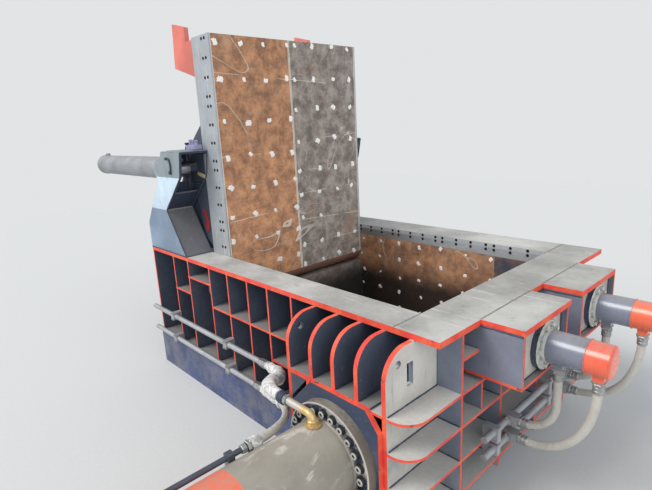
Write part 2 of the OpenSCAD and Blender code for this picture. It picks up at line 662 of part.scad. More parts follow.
// Rod with its eye and the short pin in it
module lid_rod(s) color(steel) translate([0, s * side_axis_y, lid_cyl_z]) union() {
    bar_x([lid_front_x - lid_tube_l + 45, eye_x - 20], 0, 0, lid_rod_r);
    bar_x([lid_front_x - lid_tube_l + 45, lid_front_x - lid_tube_l + 105], 0, 0,
        lid_tube_r * 0.78 - run_gap);
    bar_y(eye_x, [-eye_w / 2, eye_w / 2], 0, eye_r);
}
module lid_rod_near() lid_rod(-1);
module lid_rod_far() lid_rod(1);

// Steel pipes along the near side with their clamps, and the thin pipe along the main cylinder
pipe_r = 21;
pipe_y = -near_y - 56;
pipe_upper_z = 605;
pipe_lower_z = 385;
pipe_upper_x = -153;
pipe_lower_x = -247;
module near_pipes() color(steel) union() {
    bar_x([left_x, pipe_upper_x], pipe_y, pipe_upper_z, pipe_r);
    bar_x([left_x, pipe_lower_x], pipe_y, pipe_lower_z, pipe_r);
    for (x = [near_ribs[0], near_ribs[3]], z = [pipe_upper_z, pipe_lower_z])
        block([x - 25, x + 25], [pipe_y - pipe_r - 5, -near_y], [z - 34, z + 34]);
    bar_y(rear_pipe_x, [main_back + 120, rear_pipe_y], rear_pipe_z, 15);
    // Bracket of the thin pipe, down onto its pad
    block([rear_pipe_x - 22, rear_pipe_x + 22], [rear_pipe_y - 120, rear_pipe_y - 80],
        [rear_pad_z, rear_pipe_z + 20]);
}

// Steel pipes across the end wall, with a clamp on the shelf and a tee for each lock cylinder
end_pipe_x = end_x + 45;
end_pipe_upper_z = 480;
end_pipe_lower_z = 366;
tee_face_x = end_pipe_x + 58;
module end_pipes() color(steel)
    for (z = [end_pipe_upper_z, end_pipe_lower_z])
        union() {
            bar_y(end_pipe_x, [-700, lock_far_y + 60], z, pipe_r);
            for (y = [-580, 120])
                block([end_x - 20, end_pipe_x + 30], [y - 20, y + 20],
                    z > end_shelf_z ? [end_shelf_z + rib_t, z + 32] : [z - 32, end_shelf_z]);
            for (y = [lock_near_y, lock_far_y])
                block([end_pipe_x - 30, tee_face_x], [y - 32, y + 32], [z - 32, z + 32]);
        }

// Hoses: each leaves its fitting straight, and bends evenly to the next one
hose_r = 24;
function bezier(a, b, c, d, t) = a * pow(1 - t, 3) + b * 3 * t * pow(1 - t, 2) + c * 3 * t * t * (1 - t) + d * pow(t, 3);
function hose_line(start, start_way, start_lead, start_pull, end, end_way, end_lead, end_pull) =
    let (a = start + start_way * start_lead, d = end - end_way * end_lead,
        b = a + start_way * start_pull, c = d - end_way * end_pull, n = 14)
    concat([start], [for (i = [0 : n]) bezier(a, b, c, d, i / n)], [end]);

module hose_main_front() color(sleeve) swept_tube(hose_line([pipe_upper_x, pipe_y, pipe_upper_z], [1, 0, 0],
    25, 450, [elbow_end_x, port_y, elbow_axis_z], [1, 0, 0], 25, 450), hose_r);
module hose_main_rear() color(sleeve) swept_tube(hose_line([pipe_lower_x, pipe_y, pipe_lower_z], [1, 0, 0],
    25, 450, [rear_pipe_x, rear_pipe_y, rear_pipe_z], [0, -1, 0], 25, 260), hose_r);

lock_port_z = lock_z - lock_tube_r - 40;
lock_bend = 190;
module front_hose(y) swept_tube(hose_line([lock_ports[0], y, lock_port_z], [0, 0, -1],
    lock_port_z - end_pipe_upper_z - lock_bend, lock_bend * 0.5523, [tee_face_x, y, end_pipe_upper_z], [-1, 0, 0],
    lock_ports[0] - tee_face_x - lock_bend, lock_bend * 0.5523), hose_r);
module rear_hose(y) swept_tube(hose_line([lock_ports[1], y, lock_port_z], [0, 0, -1], 25, 330,
    [tee_face_x, y, end_pipe_lower_z], [-1, 0, 0], 15, 240), hose_r);
module hose_near_front() color(sleeve) front_hose(lock_near_y);
module hose_near_rear() color(sleeve) rear_hose(lock_near_y);
module hose_far_front() color(sleeve) front_hose(lock_far_y);
module hose_far_rear() color(sleeve) rear_hose(lock_far_y);

base_frame();
side_sills();
floor_plate();
near_wall();
ram_bridge();
main_housing();
end_frame();
end_liner();
near_liner();
shear_blades();
far_wall();
far_lintel();
far_liner();
far_top_strip();
top_near();
top_far();
top_end();
top_left();
gate_rails();
gate_cylinder();
left_end_plate();
side_bulkhead();
side_cylinder();
lock_box_near();
lock_box_far();
lock_cylinder_near();
lock_cylinder_far();
main_mount_plate();
main_cylinder();
main_flange_bolts();
main_elbow();
tower_near();
tower_far();
hinge_pins();
near_pipes();
end_pipes();
hose_main_front();
hose_main_rear();
hose_near_front();
hose_near_rear();
hose_far_front();
hose_far_rear();
main_ram();
main_rod();
side_ram();
side_rod();
lock_pin_near();
lock_pin_far();
gate();
gate_rod();
lid_frame();
lid_liner_near();
lid_liner_far();
lid_strips();
lid_lugs();
lid_ears();
lid_cylinder_near();
lid_cylinder_far();
lid_rod_near();
lid_rod_far();
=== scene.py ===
"""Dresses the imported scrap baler: paint and wear on every plate, and the welds, bolts, hoses and
fittings that the steelwork carries. Everything is in metres, in the frame of the part."""

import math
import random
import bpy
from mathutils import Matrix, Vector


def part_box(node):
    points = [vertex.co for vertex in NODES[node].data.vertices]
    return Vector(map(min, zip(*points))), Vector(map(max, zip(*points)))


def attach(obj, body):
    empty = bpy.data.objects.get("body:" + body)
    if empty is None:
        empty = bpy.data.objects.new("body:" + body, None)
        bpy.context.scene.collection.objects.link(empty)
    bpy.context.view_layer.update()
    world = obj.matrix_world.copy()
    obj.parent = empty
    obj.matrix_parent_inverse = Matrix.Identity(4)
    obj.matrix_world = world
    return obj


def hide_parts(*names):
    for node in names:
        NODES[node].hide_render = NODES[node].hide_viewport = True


bl_info = {
    "name": "Scrap baler finish",
    "version": (1, 0, 0),
    "blender": (4, 5, 0),
    "location": "3D View > Sidebar > Baler",
    "description": "Paints the packed scrap baler and adds its welds, bolts, hoses and fittings",
    "category": "Object",
}

import bmesh
import bpy
from mathutils import Matrix, Vector, noise

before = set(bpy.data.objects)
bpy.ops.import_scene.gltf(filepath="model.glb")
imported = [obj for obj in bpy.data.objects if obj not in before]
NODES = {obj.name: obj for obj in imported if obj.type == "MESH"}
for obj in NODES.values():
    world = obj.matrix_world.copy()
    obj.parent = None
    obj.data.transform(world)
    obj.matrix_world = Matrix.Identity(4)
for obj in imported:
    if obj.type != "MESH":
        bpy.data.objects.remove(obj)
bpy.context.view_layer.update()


def box_low(node):
    """The low corner of a node's box."""
    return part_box(node)[0]


def box_high(node):
    """The high corner of a node's box."""
    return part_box(node)[1]


# Planes of the steelwork, read from the frame
TOP_Z = box_high("top_near").z
TOP_UNDER = box_low("top_near").z
NEAR_Y = box_low("top_near").y
FAR_Y = box_high("top_far").y
LEFT_X = box_low("top_near").x
LEFT_TOP_X = box_high("top_left").x
END_X = box_high("end_frame").x
LINER_X = box_low("end_liner").x
LINER_Y = box_low("far_liner").y
WALL_Y = box_high("floor_plate").y
DEEP_Y = box_low("main_housing").y
BRIDGE_Z = box_high("main_housing").z
SILL_TOP = box_high("side_sills").z
LOCK_FACE = box_low("lock_cylinder_near").x
LOCK_BACK = box_high("lock_cylinder_near").x
LOCK_NOSE = box_high("lock_box_near").x
LOCK_WELD_Z = box_low("lock_box_near").z + 0.017
LOCK_BOXES = [(box_low(node).y, box_high(node).y) for node in ("lock_box_near", "lock_box_far")]
FLANGE_Y = box_high("main_flange_bolts").y
CAP_Y = box_low("main_cylinder").y
LID_FACE = box_high("lid_liner_near").x
LID_BACK = box_low("lid_frame").x
LID_EDGE = box_high("lid_frame").y
STRIP_Y = box_high("lid_strips").y
HINGE_PIN_Y = box_high("hinge_pins").y
TOWER_TOP = box_high("tower_near").z
RAIL_Y = box_high("gate_rails").y
OVER_GATE_Z = box_high("gate").z + 0.042

# Sizes and places that repeat the part's source
SIDES = (("near", -1), ("far", 1))
WALL_X = 1.080
RIB_T = 0.016
DEEP_RIB_T = 0.028
RIBS = (-1.564, -1.294, -0.930, -0.656, -0.383, -0.134, 0.133)
LEFT_RIB = LEFT_X + RIB_T / 2
DEEP_RIBS = (0.374, 0.578, 0.761, 0.936)
FAR_LAST_RIB = 0.400
END_RIB_X = 1.124
END_PLATES = (-0.855, -0.420, 0.080, 0.560)
STRINGER_1 = 0.830
STRINGER_2 = 0.620
STRINGER_END = 0.356
SHELVES = (0.812, STRINGER_2 - RIB_T / 2, 0.400, 0.190)
TONGUES = ((-0.693, -0.100), (0.073, 0.656))
LIFTING_HOLE_Y, LIFTING_HOLE_Z = -1.207, 1.081
SLOT_Y, SLOT_Z = -1.112, 0.995
GUSSET_X, GUSSET_Z = 0.460, 0.700
MAIN_X, MAIN_Z = 0.780, 0.476
MAIN_R = 0.226
FLANGE_R = 0.312
FLANGE_BOLT_RING = 0.270
CAP_SCREW_RING = 0.170
PORT_Y = -1.470
ELBOW_X, ELBOW_END_X, ELBOW_AXIS_Z = 0.766, 0.561, 0.763
LOCK_YS = (-0.396, 0.362)
LOCK_Z = 1.021
LOCK_R = 0.090
LOCK_FLANGE_R = 0.143
LOCK_PORTS = (1.600, 1.803)
LOCK_PORT_Z = 0.891
HOSE_R = 0.024
PIPE_Y = -1.130
UPPER_PIPE_END, UPPER_PIPE_Z = -0.153, 0.605
LOWER_PIPE_END, LOWER_PIPE_Z = -0.247, 0.385
CLAMPED_RIBS = (RIBS[0], RIBS[3])
CLAMP_Y = -1.156
REAR_PIPE_X, REAR_HOSE_Y, REAR_PIPE_Z = 0.617, -1.800, 0.672
END_PIPE_X = 1.337
TEE_FACE = 1.395
TEE_ZS = (0.480, 0.366)
HINGE_X, HINGE_Z = -1.097, 0.912
LID_SEAM = -0.025
EAR_IN_Y = 0.565
EAR_T = 0.040
LUGS = ((-0.805, -0.765), (0.550, 0.590))
LID_CYLINDER_Y, LID_CYLINDER_Z = 0.9495, 1.950
LID_TUBE_R = 0.100
TOWER_TOE_X = -1.290
GATE_AXIS_Y = 0.990

# Sizes and places of what the scene adds, most of them measured in the photo
WELD_GAP = 0.001
CRANK_Z, HEAD_Z = 1.592, 1.890
TOWER_FRONT = ((TOWER_TOE_X, TOP_Z), (-1.564, CRANK_Z), (-1.238, HEAD_Z), (-1.192, TOWER_TOP - 0.002))
LID_ROWS_NEAR = (2.945, 2.663, 2.316, 2.040, 1.770, 1.530, 1.317, 1.051)
LID_ROWS_FAR = (2.970, 2.668, 2.410, 2.127, 1.857, 1.635, 1.387, 1.135, 0.945)
LID_COLUMNS_NEAR = (-0.755, -0.520, -0.285, -0.055)
LID_COLUMNS_FAR = (0.034, 0.270, 0.497, 0.722)
WALL_ROWS = (1.062, 0.875, 0.705, 0.535, 0.365)
WALL_COLUMNS = [-1.225 + 0.250 * i for i in range(8)]
END_ROWS = (0.36, 0.62, 0.86, 1.10)
END_COLUMNS = (-0.70, -0.22, -0.02, 0.16, 0.60)
BLADE_PITCH, PAIR_PITCH = 0.515, 0.1465
BLADE_BOLT_X = 0.993
BLADE_BOLT_ZS = (1.1835, 1.146)
LID_BOLT_Z = 2.966
LID_BOLT_XS = (-1.102, -1.058)
COVER_TOP = TOWER_TOP + 0.012
HANDLE_LINE = ((-1.440, 2.046), (-1.400, 2.048), (-1.384, 2.036), (-1.374, 2.000), (-1.376, 1.960),
               (-1.388, 1.935))
HANDLE_FEET = ((-1.440, 2.046, 0.012), (-1.390, 1.930, 0.016))
# Dark sheet in each tower's mouth, painted as the shade there
SHADE_SHEET_IN_Y = 0.854
SHADE_SHEET_Z0, SHADE_SHEET_Z1 = 1.690, 2.082
# Outline of the dark plates behind the lid's ears, painted as the shade there
SHADE_PLATE = ((-1.262, 1.222), (-1.480, 1.222), (-1.640, 1.420), (-1.655, 1.690), (-1.560, 1.760),
         (-1.262, 1.760))
EAR_PAD = ((-1.420, 1.884), (-1.266, 1.846), (-1.262, 1.878), (-1.300, 1.892), (-1.420, 1.914))
EAR_PATCH = ((-1.405, 1.560), (-1.372, 1.585), (-1.335, 1.535), (-1.308, 1.470), (-1.322, 1.385),
             (-1.362, 1.362), (-1.384, 1.420), (-1.366, 1.480))


# Shader expressions


class Value:
    """A number that changes over a surface. The usual operators add its Math nodes."""

    def __init__(self, finish, socket):
        self.finish, self.socket = finish, socket

    def math(self, operation, *others):
        """This value through a Math node."""
        return self.finish.math(operation, self, *others)

    def __add__(self, other):
        return self.math("ADD", other)

    __radd__ = __add__

    def __sub__(self, other):
        return self.math("SUBTRACT", other)

    def __rsub__(self, other):
        return self.finish.math("SUBTRACT", other, self)

    def __mul__(self, other):
        return self.math("MULTIPLY", other)

    __rmul__ = __mul__

    def __gt__(self, other):
        return self.math("GREATER_THAN", other)

    def __lt__(self, other):
        return self.math("LESS_THAN", other)

    def __abs__(self):
        return self.math("ABSOLUTE")

    def either(self, other):
        """The larger of two masks."""
        return self.math("MAXIMUM", other)

    def rise(self, low, high):
        """0 below low, 1 above high, and a soft step between."""
        return self.finish.node(
            "ShaderNodeMapRange",
            {"interpolation_type": "SMOOTHSTEP"},
            {"Value": self, "From Min": low, "From Max": high},
        )


class Finish:
    """One procedural material, built up from Object coordinates."""

    def __init__(self, name):
        self.material = bpy.data.materials.new(name)
        self.material.use_nodes = True
        self.tree = self.material.node_tree
        self.tree.nodes.clear()
        self.place = self.node("ShaderNodeTexCoord", out="Object")
        self.x, self.y, self.z = self.parts(self.place)
        self.nx, self.ny, self.nz = self.parts(self.node("ShaderNodeTexCoord", out="Normal"))

    def node(self, kind, settings=None, inputs=None, out=0):
        """Adds a node: its settings first, then the values or links of its sockets."""
        made = self.tree.nodes.new(kind)
        for key, value in (settings or {}).items():
            setattr(made, key, value)
        for key, value in (inputs or {}).items():
            socket = made.inputs[key]
            if isinstance(value, Value):
                self.tree.links.new(value.socket, socket)
            elif socket.type == "RGBA" and len(value) == 3:
                socket.default_value = (*value, 1.0)
            else:
                socket.default_value = value
        return Value(self, made.outputs[out])

    def math(self, operation, *values):
        """A Math node on values and plain numbers."""
        return self.node("ShaderNodeMath", {"operation": operation}, dict(enumerate(values)))

    def parts(self, vector):
        """The x, y and z of a vector."""
        made = self.tree.nodes.new("ShaderNodeSeparateXYZ")
        self.tree.links.new(vector.socket, made.inputs[0])
        return [Value(self, made.outputs[i]) for i in range(3)]

    def blend(self, share, under, over):
        """Colour under, covered by colour over where share is 1."""
        return self.node(
            "ShaderNodeMix", {"data_type": "RGBA"}, {0: share, 6: under, 7: over}, out=2
        )

    def scaled(self, colour, amount):
        """A colour made lighter or darker."""
        return self.node("ShaderNodeVectorMath", {"operation": "SCALE"}, {0: colour, "Scale": amount})

    def stretched(self, scale):
        """The place on the piece, pulled longer or shorter along each axis."""
        return self.node(
            "ShaderNodeVectorMath", {"operation": "MULTIPLY"}, {0: self.place, 1: scale}
        )

    def noise(self, scale, detail=4.0, rough=0.55, stretch=(1, 1, 1), distortion=0.0):
        """Cloudy variation, 0 to 1."""
        vector = self.place if stretch == (1, 1, 1) else self.stretched(stretch)
        return self.node(
            "ShaderNodeTexNoise",
            None,
            {"Vector": vector, "Scale": scale, "Detail": detail, "Roughness": rough,
             "Distortion": distortion},
        )

    def worn_edge(self, radius):
        """Near 1 along convex edges, from the angle between a rounded normal and the flat one."""
        rounded = self.node("ShaderNodeBevel", {"samples": 4}, {"Radius": radius})
        flat = self.node("ShaderNodeNewGeometry", out="Normal")
        along = self.node(
            "ShaderNodeVectorMath", {"operation": "DOT_PRODUCT"}, {0: rounded, 1: flat}, out="Value"
        )
        return (1.0 - along).rise(0.01, 0.22)

    def done(self, colour, roughness=0.6, metallic=0.0, bumps=(), coat=0.0):
        """Ends the material with its surface, under bumps given as (height, distance)."""
        normal = None
        for height, distance in bumps:
            inputs = {"Height": height, "Distance": distance, "Strength": 1.0}
            if normal:
                inputs["Normal"] = normal
            normal = self.node("ShaderNodeBump", None, inputs)
        inputs = {"Base Color": colour, "Roughness": roughness, "Metallic": metallic}
        if normal:
            inputs["Normal"] = normal
        if coat:
            inputs["Coat Weight"] = coat
            inputs["Coat Roughness"] = 0.25
        shader = self.node("ShaderNodeBsdfPrincipled", None, inputs)
        output = self.tree.nodes.new("ShaderNodeOutputMaterial")
        self.tree.links.new(shader.socket, output.inputs["Surface"])
        return self.material


def srgb(red, green, blue):
    """A colour as the eye sees it, 0 to 255, as linear numbers."""
    return tuple(
        c / 12.92 if c <= 0.04045 else ((c + 0.055) / 1.055) ** 2.4
        for c in (red / 255, green / 255, blue / 255)
    )


def tint(name):
    """A colour that the user can change."""
    return tuple(getattr(bpy.context.scene.baler_colours, name))


# Finishes


def rim_mask(finish, rims):
    """1 on the faces that look along a signed axis beyond a plane: the sawn edges of the plates."""
    mask = None
    for axis, sign, beyond in rims:
        normal = getattr(finish, "n" + axis) * sign
        place = getattr(finish, axis) * sign
        part = (normal > 0.3) * (place > beyond)
        mask = part if mask is None else mask.either(part)
    return mask


def bare_places(f):
    """1 where an edge stays in wall paint: in the lifting holes, in the slot and on the gusset."""
    across, up = f.y - LIFTING_HOLE_Y, f.z - LIFTING_HOLE_Z
    hole = (across * across + up * up) < 0.0008
    slot = (abs(f.y - SLOT_Y) < 0.034) * (abs(f.z - SLOT_Z) < 0.070)
    gusset = (abs(f.x - GUSSET_X) < 0.071) * (abs(f.z - GUSSET_Z) < 0.1115) * (f.y < DEEP_Y + 0.017)
    return hole.either(slot).either(gusset)


def edge_paint(f, knocks):
    """Red primer on a plate's edge, faded to orange, and knocked off here and there."""
    red = f.blend(f.noise(9, 5, 0.6).rise(0.35, 0.75), tint("edge_red"), tint("edge_orange"))
    return f.blend(knocks, red, tint("dirt"))


def plate_paint(name, rims=(), corner=0.0, base="paint", dust=0.55, zones=None, low_edge=0.0,
                dust_tone="dust"):
    """Slate paint on welded plate: brush streaks, dust on what looks up, rust runs, red edges."""
    f = Finish(name)
    ground = tint(base)
    for share, over in zones(f) if zones else ():
        ground = f.blend(share, ground, over)
    broad = f.noise(1.7, 5, 0.6)
    fine = f.noise(38, 6, 0.65)
    runs = f.noise(7, 4, 0.6, stretch=(3, 3, 0.35), distortion=0.4)
    shade = f.scaled(ground, 0.76 + broad.rise(0.3, 0.7) * 0.46)
    speck = f.blend(fine.rise(0.58, 0.72) * 0.35, shade, tint("dust"))
    streak = f.blend(runs.rise(0.60, 0.78) * 0.45, speck, tint("dirt"))
    lying = f.nz.rise(0.35, 0.95) * (0.55 + fine * 0.6) * dust * 1.5
    low = (1.0 - f.z.rise(0.0, 0.9)) * f.noise(5, 5, 0.7).rise(0.35, 0.7) * dust * 0.75
    dusty = f.blend(lying.either(low).math("MINIMUM", 0.93), streak, tint(dust_tone))
    rust_spots = f.noise(13, 8, 0.7).rise(0.66, 0.74)
    rusty = f.blend(rust_spots * 0.6, dusty, tint("rust"))
    chips = f.noise(60, 5, 0.7).rise(0.50, 0.62)
    colour_now = f.blend(f.worn_edge(0.006) * chips * 0.65, rusty, tint("bare_steel"))
    if rims:
        mask = rim_mask(f, rims)
        if corner:
            curve = (f.nz > 0.12) * (f.z > TOP_UNDER - 0.180) * ((f.y * corner) > 0.011 - NEAR_Y)
            mask = mask.either(curve)
        if low_edge:
            mask = mask.either((abs(f.nz) < 0.5) * (f.z < low_edge))
        mask = mask * (1.0 - bare_places(f))
        knocks = f.noise(24, 6, 0.7).rise(0.60, 0.68) * 0.8
        colour_now = f.blend(mask, colour_now, edge_paint(f, knocks))
    rough = 0.48 + broad * 0.12 + lying * 0.3
    return f.done(colour_now, rough, 0.0, bumps=((broad * 0.6 + fine * 0.25, 0.0016), (runs, 0.0004)))


def tower_zones(f):
    """Outer cheek painted pale as sunlit, with a grey-green head; upper front painted dark as shade;
    lower front dusty and painted lighter as lit.
    """
    outer = (abs(f.ny) > 0.5) * (abs(f.y) > -NEAR_Y - 0.024)
    front = (1.0 - outer) * (f.x > LEFT_X + 0.190)
    above_crank = f.z.rise(CRANK_Z - 0.004, CRANK_Z + 0.004)
    return (
        # Painted sunlight and sky reflection on the outer cheek above the crank
        (outer * above_crank, tint("tower_sunlit_pale")),
        (outer * f.z.rise(HEAD_Z - 0.008, HEAD_Z), tint("cover_green")),
        # Painted shade on the upper front, which faces away from the light
        (front * above_crank, tint("shade")),
        # Dust and painted light on the lower front, which faces up to the light
        (front * (1.0 - above_crank), tint("front_dust_and_light")),
        (front * (abs(f.z - CRANK_Z) < 0.006), tint("dust")),
    )


def lock_box_zones(f):
    """Dusty front plate between the side plates."""
    front = (f.nx > 0.5) * (abs(f.x - LOCK_FACE) < 0.004)
    return ((front * f.noise(8, 5, 0.6).rise(0.2, 0.5), tint("pale_dust")),)


def end_zones(f):
    """Pale dust on the end rib's outward face, as thick as on the shelves."""
    face = (f.nx > 0.5) * (abs(f.x - END_RIB_X - DEEP_RIB_T / 2) < 0.004)
    return ((face * f.noise(3, 5, 0.6).rise(0.15, 0.5) * 0.92, tint("pale_dust")),)


def hub_zones(f):
    """The lid's hub has worn down to brown rust."""
    hub = (1.0 - f.z.rise(HINGE_Z + 0.088, HINGE_Z + 0.103)) * (f.x > LID_BACK + 0.023)
    return ((hub * 0.85, tint("rust_dark")),)


def top_plate(name, rims):
    """Walked-on top plate: pale dust over grey scale, drag marks, and red on its outer edge."""
    f = Finish(name)
    broad = f.noise(1.3, 6, 0.65)
    mottled = f.noise(11, 8, 0.7)
    drag = f.noise(6, 5, 0.6, stretch=(0.4, 5, 1), distortion=0.6)
    ground = f.blend(broad.rise(0.32, 0.68), tint("top_dark"), tint("top_light"))
    stained = f.blend(mottled.rise(0.55, 0.75) * 0.45, ground, tint("stain"))
    dragged = f.blend(drag.rise(0.60, 0.68) * 0.5, stained, tint("chalk"))
    oil = f.noise(2.2, 3, 0.5, distortion=1.2).rise(0.66, 0.74)
    oiled = f.blend(oil * 0.4, dragged, f.scaled(tint("top_dark"), 0.4))
    rusty = f.blend(f.noise(4.3, 8, 0.75).rise(0.62, 0.72) * 0.4, oiled, tint("rust"))
    mask = rim_mask(f, rims) * (abs(f.nz) < 0.5)
    mouth = (abs(f.y) < LINER_Y + 0.002) * (abs(f.ny) > 0.5)
    under = f.blend((f.nz < -0.5) * 0.9, rusty, tint("paint"))
    inner = f.blend(mouth * 0.8, under, tint("strip"))
    colour = f.blend(mask, inner, edge_paint(f, mottled.rise(0.6, 0.7) * 0.6))
    rough = 0.78 - oil * 0.3 - mask * 0.2
    return f.done(colour, rough, 0.0, bumps=((mottled * 0.7 + drag * 0.3, 0.0014),))


def chalk_lines(f, rows):
    """Thin loose curves all over, and a straight line through each row of plug welds."""
    curves = abs(f.noise(1.5, 2, 0.4, distortion=0.8) - 0.5) < 0.0035
    loops = curves * f.noise(1.1, 3, 0.5).rise(0.42, 0.55)
    for k, row in enumerate(rows):
        slope = 0.05 * ((k * 7) % 5 - 2) / 2
        line = abs(f.z - row - f.y * slope + (f.noise(9, 2, 0.5) - 0.5) * 0.012) < 0.0028
        loops = loops.either(line * f.noise(2.7, 3, 0.6).rise(0.46, 0.54))
    return loops


def rusted_liner(name, rust_share, rows=(), edge=0.0, dark_bottom=True, lift=0.0):
    """Rolled wear plate: blotched orange and grey-brown rust, rolling marks and chalk lines."""
    f = Finish(name)
    clouds = f.noise(1.5, 6, 0.66, distortion=0.25)
    mottle = f.noise(8, 8, 0.74)
    speck = f.noise(45, 6, 0.7)
    rolled = f.noise(4, 7, 0.7, stretch=(0.8, 0.8, 8))
    upright = f.noise(6, 5, 0.65, stretch=(2.2, 2.2, 0.5))
    rust = f.blend(mottle.rise(0.34, 0.66), tint("rust_dark"), tint("rust_bright"))
    grey = f.blend(mottle.rise(0.36, 0.66), tint("scale_dark"), tint("scale_light"))
    share = clouds * 0.66 + upright * 0.17 + rolled * 0.17 + (rust_share - 0.5)
    mixed = f.blend(share.rise(0.40, 0.60), grey, rust)
    brown = f.blend(f.noise(2.6, 7, 0.7).rise(0.54, 0.66) * 0.6, mixed, tint("rust_brown"))
    scored = f.blend(rolled.rise(0.56, 0.66) * 0.34, brown, tint("scale_light"))
    dark = f.blend((1.0 - rolled.rise(0.34, 0.45)) * 0.26, scored, tint("scale_dark"))
    dotted = f.blend(speck.rise(0.60, 0.70) * 0.3, dark, tint("chalk"))
    marked = f.blend(chalk_lines(f, rows) * 0.62, dotted, tint("chalk"))
    if edge:
        seam = abs(f.y - LID_SEAM) < 0.007 + mottle * 0.008
        rim = abs(abs(f.y) - edge) < 0.004 + speck * 0.006
        rubbed = (0.45 + mottle * 0.7).math("MINIMUM", 1.0)
        marked = f.blend(seam.either(rim) * rubbed, marked, tint("chalk"))
    if lift:
        marked = f.scaled(marked, 1.0 + (1.0 - f.z.rise(1.1, 2.6)) * lift)
    # Darker towards the bottom of the chamber, nearly black at the floor
    if dark_bottom:
        depth = 1.0 - f.z.rise(0.42, 1.02) + (clouds - 0.5) * 0.5
        marked = f.blend(depth.rise(0.05, 0.80) * 0.95, marked, tint("dark_bottom"))
    edges = f.blend(f.worn_edge(0.008) * mottle.rise(0.35, 0.55) * 0.7, marked, tint("scale_light"))
    return f.done(edges, 0.74 + mottle * 0.16, 0.08, bumps=((mottle * 0.6 + rolled * 0.4, 0.0016),))


def blade_steel(name, along="z"):
    """Bolted blades: pale worn steel with streaks, brown at the far left and below the bolts."""
    f = Finish(name)
    film = f.noise(5, 7, 0.7)
    streaks = f.noise(5, 5, 0.6, stretch=(1, 1, 9) if along == "x" else (9, 9, 1))
    tone = f.blend(film.rise(0.35, 0.7) * 0.4, tint("strip"), tint("top_dark"))
    streaked = f.blend(streaks.rise(0.56, 0.66) * 0.5, tone, tint("chalk"))
    dull = f.blend((1.0 - streaks.rise(0.28, 0.42)) * 0.35, streaked, tint("stain"))
    if along == "x":
        aged = (1.0 - f.x.rise(-0.9, 0.1)) * 0.7
        dull = f.blend(aged, dull, tint("stain"))
        below = f.blend(film.rise(0.4, 0.65), tint("shade"), tint("rust_dark"))
        dull = f.blend((1.0 - f.z.rise(1.090, 1.096)) * 0.9, dull, below)
    worn = f.blend(f.worn_edge(0.004) * 0.5, dull, tint("chalk"))
    return f.done(worn, 0.42 + film * 0.25, 0.25, bumps=((film, 0.0006), (streaks, 0.0004)))


def bright_steel(name, colour, rough=0.32, metallic=0.85, dirt=0.3, zones=None):
    """Turned or ground steel with a film of dirt."""
    f = Finish(name)
    for share, over in zones(f) if zones else ():
        colour = f.blend(share, colour, over)
    film = f.noise(6, 6, 0.65)
    fine = f.noise(90, 4, 0.6)
    tone = f.blend(film.rise(0.3, 0.75) * dirt, colour, tint("dirt"))
    worn = f.blend(f.worn_edge(0.004) * 0.5, tone, tint("bare_steel"))
    return f.done(worn, rough + film * 0.25, metallic, bumps=((fine, 0.00025), (film, 0.0006)))


def pipe_zones(f):
    """The thin pipe along the main cylinder is dark, and the upper pipe ends in a cream ring."""
    thin = f.y < FLANGE_Y - 0.200
    upper = (f.z > UPPER_PIPE_Z - 0.035) * (f.y > FLANGE_Y)
    ring = upper * (abs(f.x - UPPER_PIPE_END + 0.052) < 0.012)
    return ((thin * 0.85, tint("shade")), (ring, tint("brass")))


def elbow_zones(f):
    """The elbow's straight part is rubbed pale."""
    straight = 1.0 - f.x.rise(ELBOW_X - 0.102, ELBOW_X - 0.076)
    return ((straight, tint("pale_dust")),)


def cylinder_paint(name, base, axis, sign, beyond, zones=None, rough=0.42, coat=0.15):
    """Cylinder paint whose closed end is sprayed red past a plane."""
    f = Finish(name)
    broad = f.noise(2.4, 6, 0.65)
    fine = f.noise(30, 6, 0.7)
    ground = tint(base)
    for share, over in zones(f) if zones else ():
        ground = f.blend(share, ground, over)
    shaded = f.scaled(ground, 0.82 + broad.rise(0.3, 0.7) * 0.34)
    edge = (getattr(f, axis) * sign + (fine - 0.5) * 0.006).rise(beyond, beyond + 0.004)
    red = f.blend(broad.rise(0.25, 0.55), tint("edge_red"), tint("edge_orange"))
    both = f.blend(edge, shaded, red)
    lying = f.nz.rise(0.6, 1.0) * fine.rise(0.30, 0.62) * 0.5
    dusty = f.blend(lying, both, tint("dust"))
    marks = f.noise(15, 8, 0.75, distortion=0.8).rise(0.64, 0.70)
    marked = f.blend(marks * 0.45, dusty, tint("dirt"))
    chipped = f.blend(f.worn_edge(0.006) * fine.rise(0.45, 0.6) * 0.6, marked, tint("bare_steel"))
    return f.done(chipped, rough + fine * 0.14 + lying * 0.4, 0.0, coat=coat,
                  bumps=((broad * 0.5 + fine * 0.3, 0.0008),))


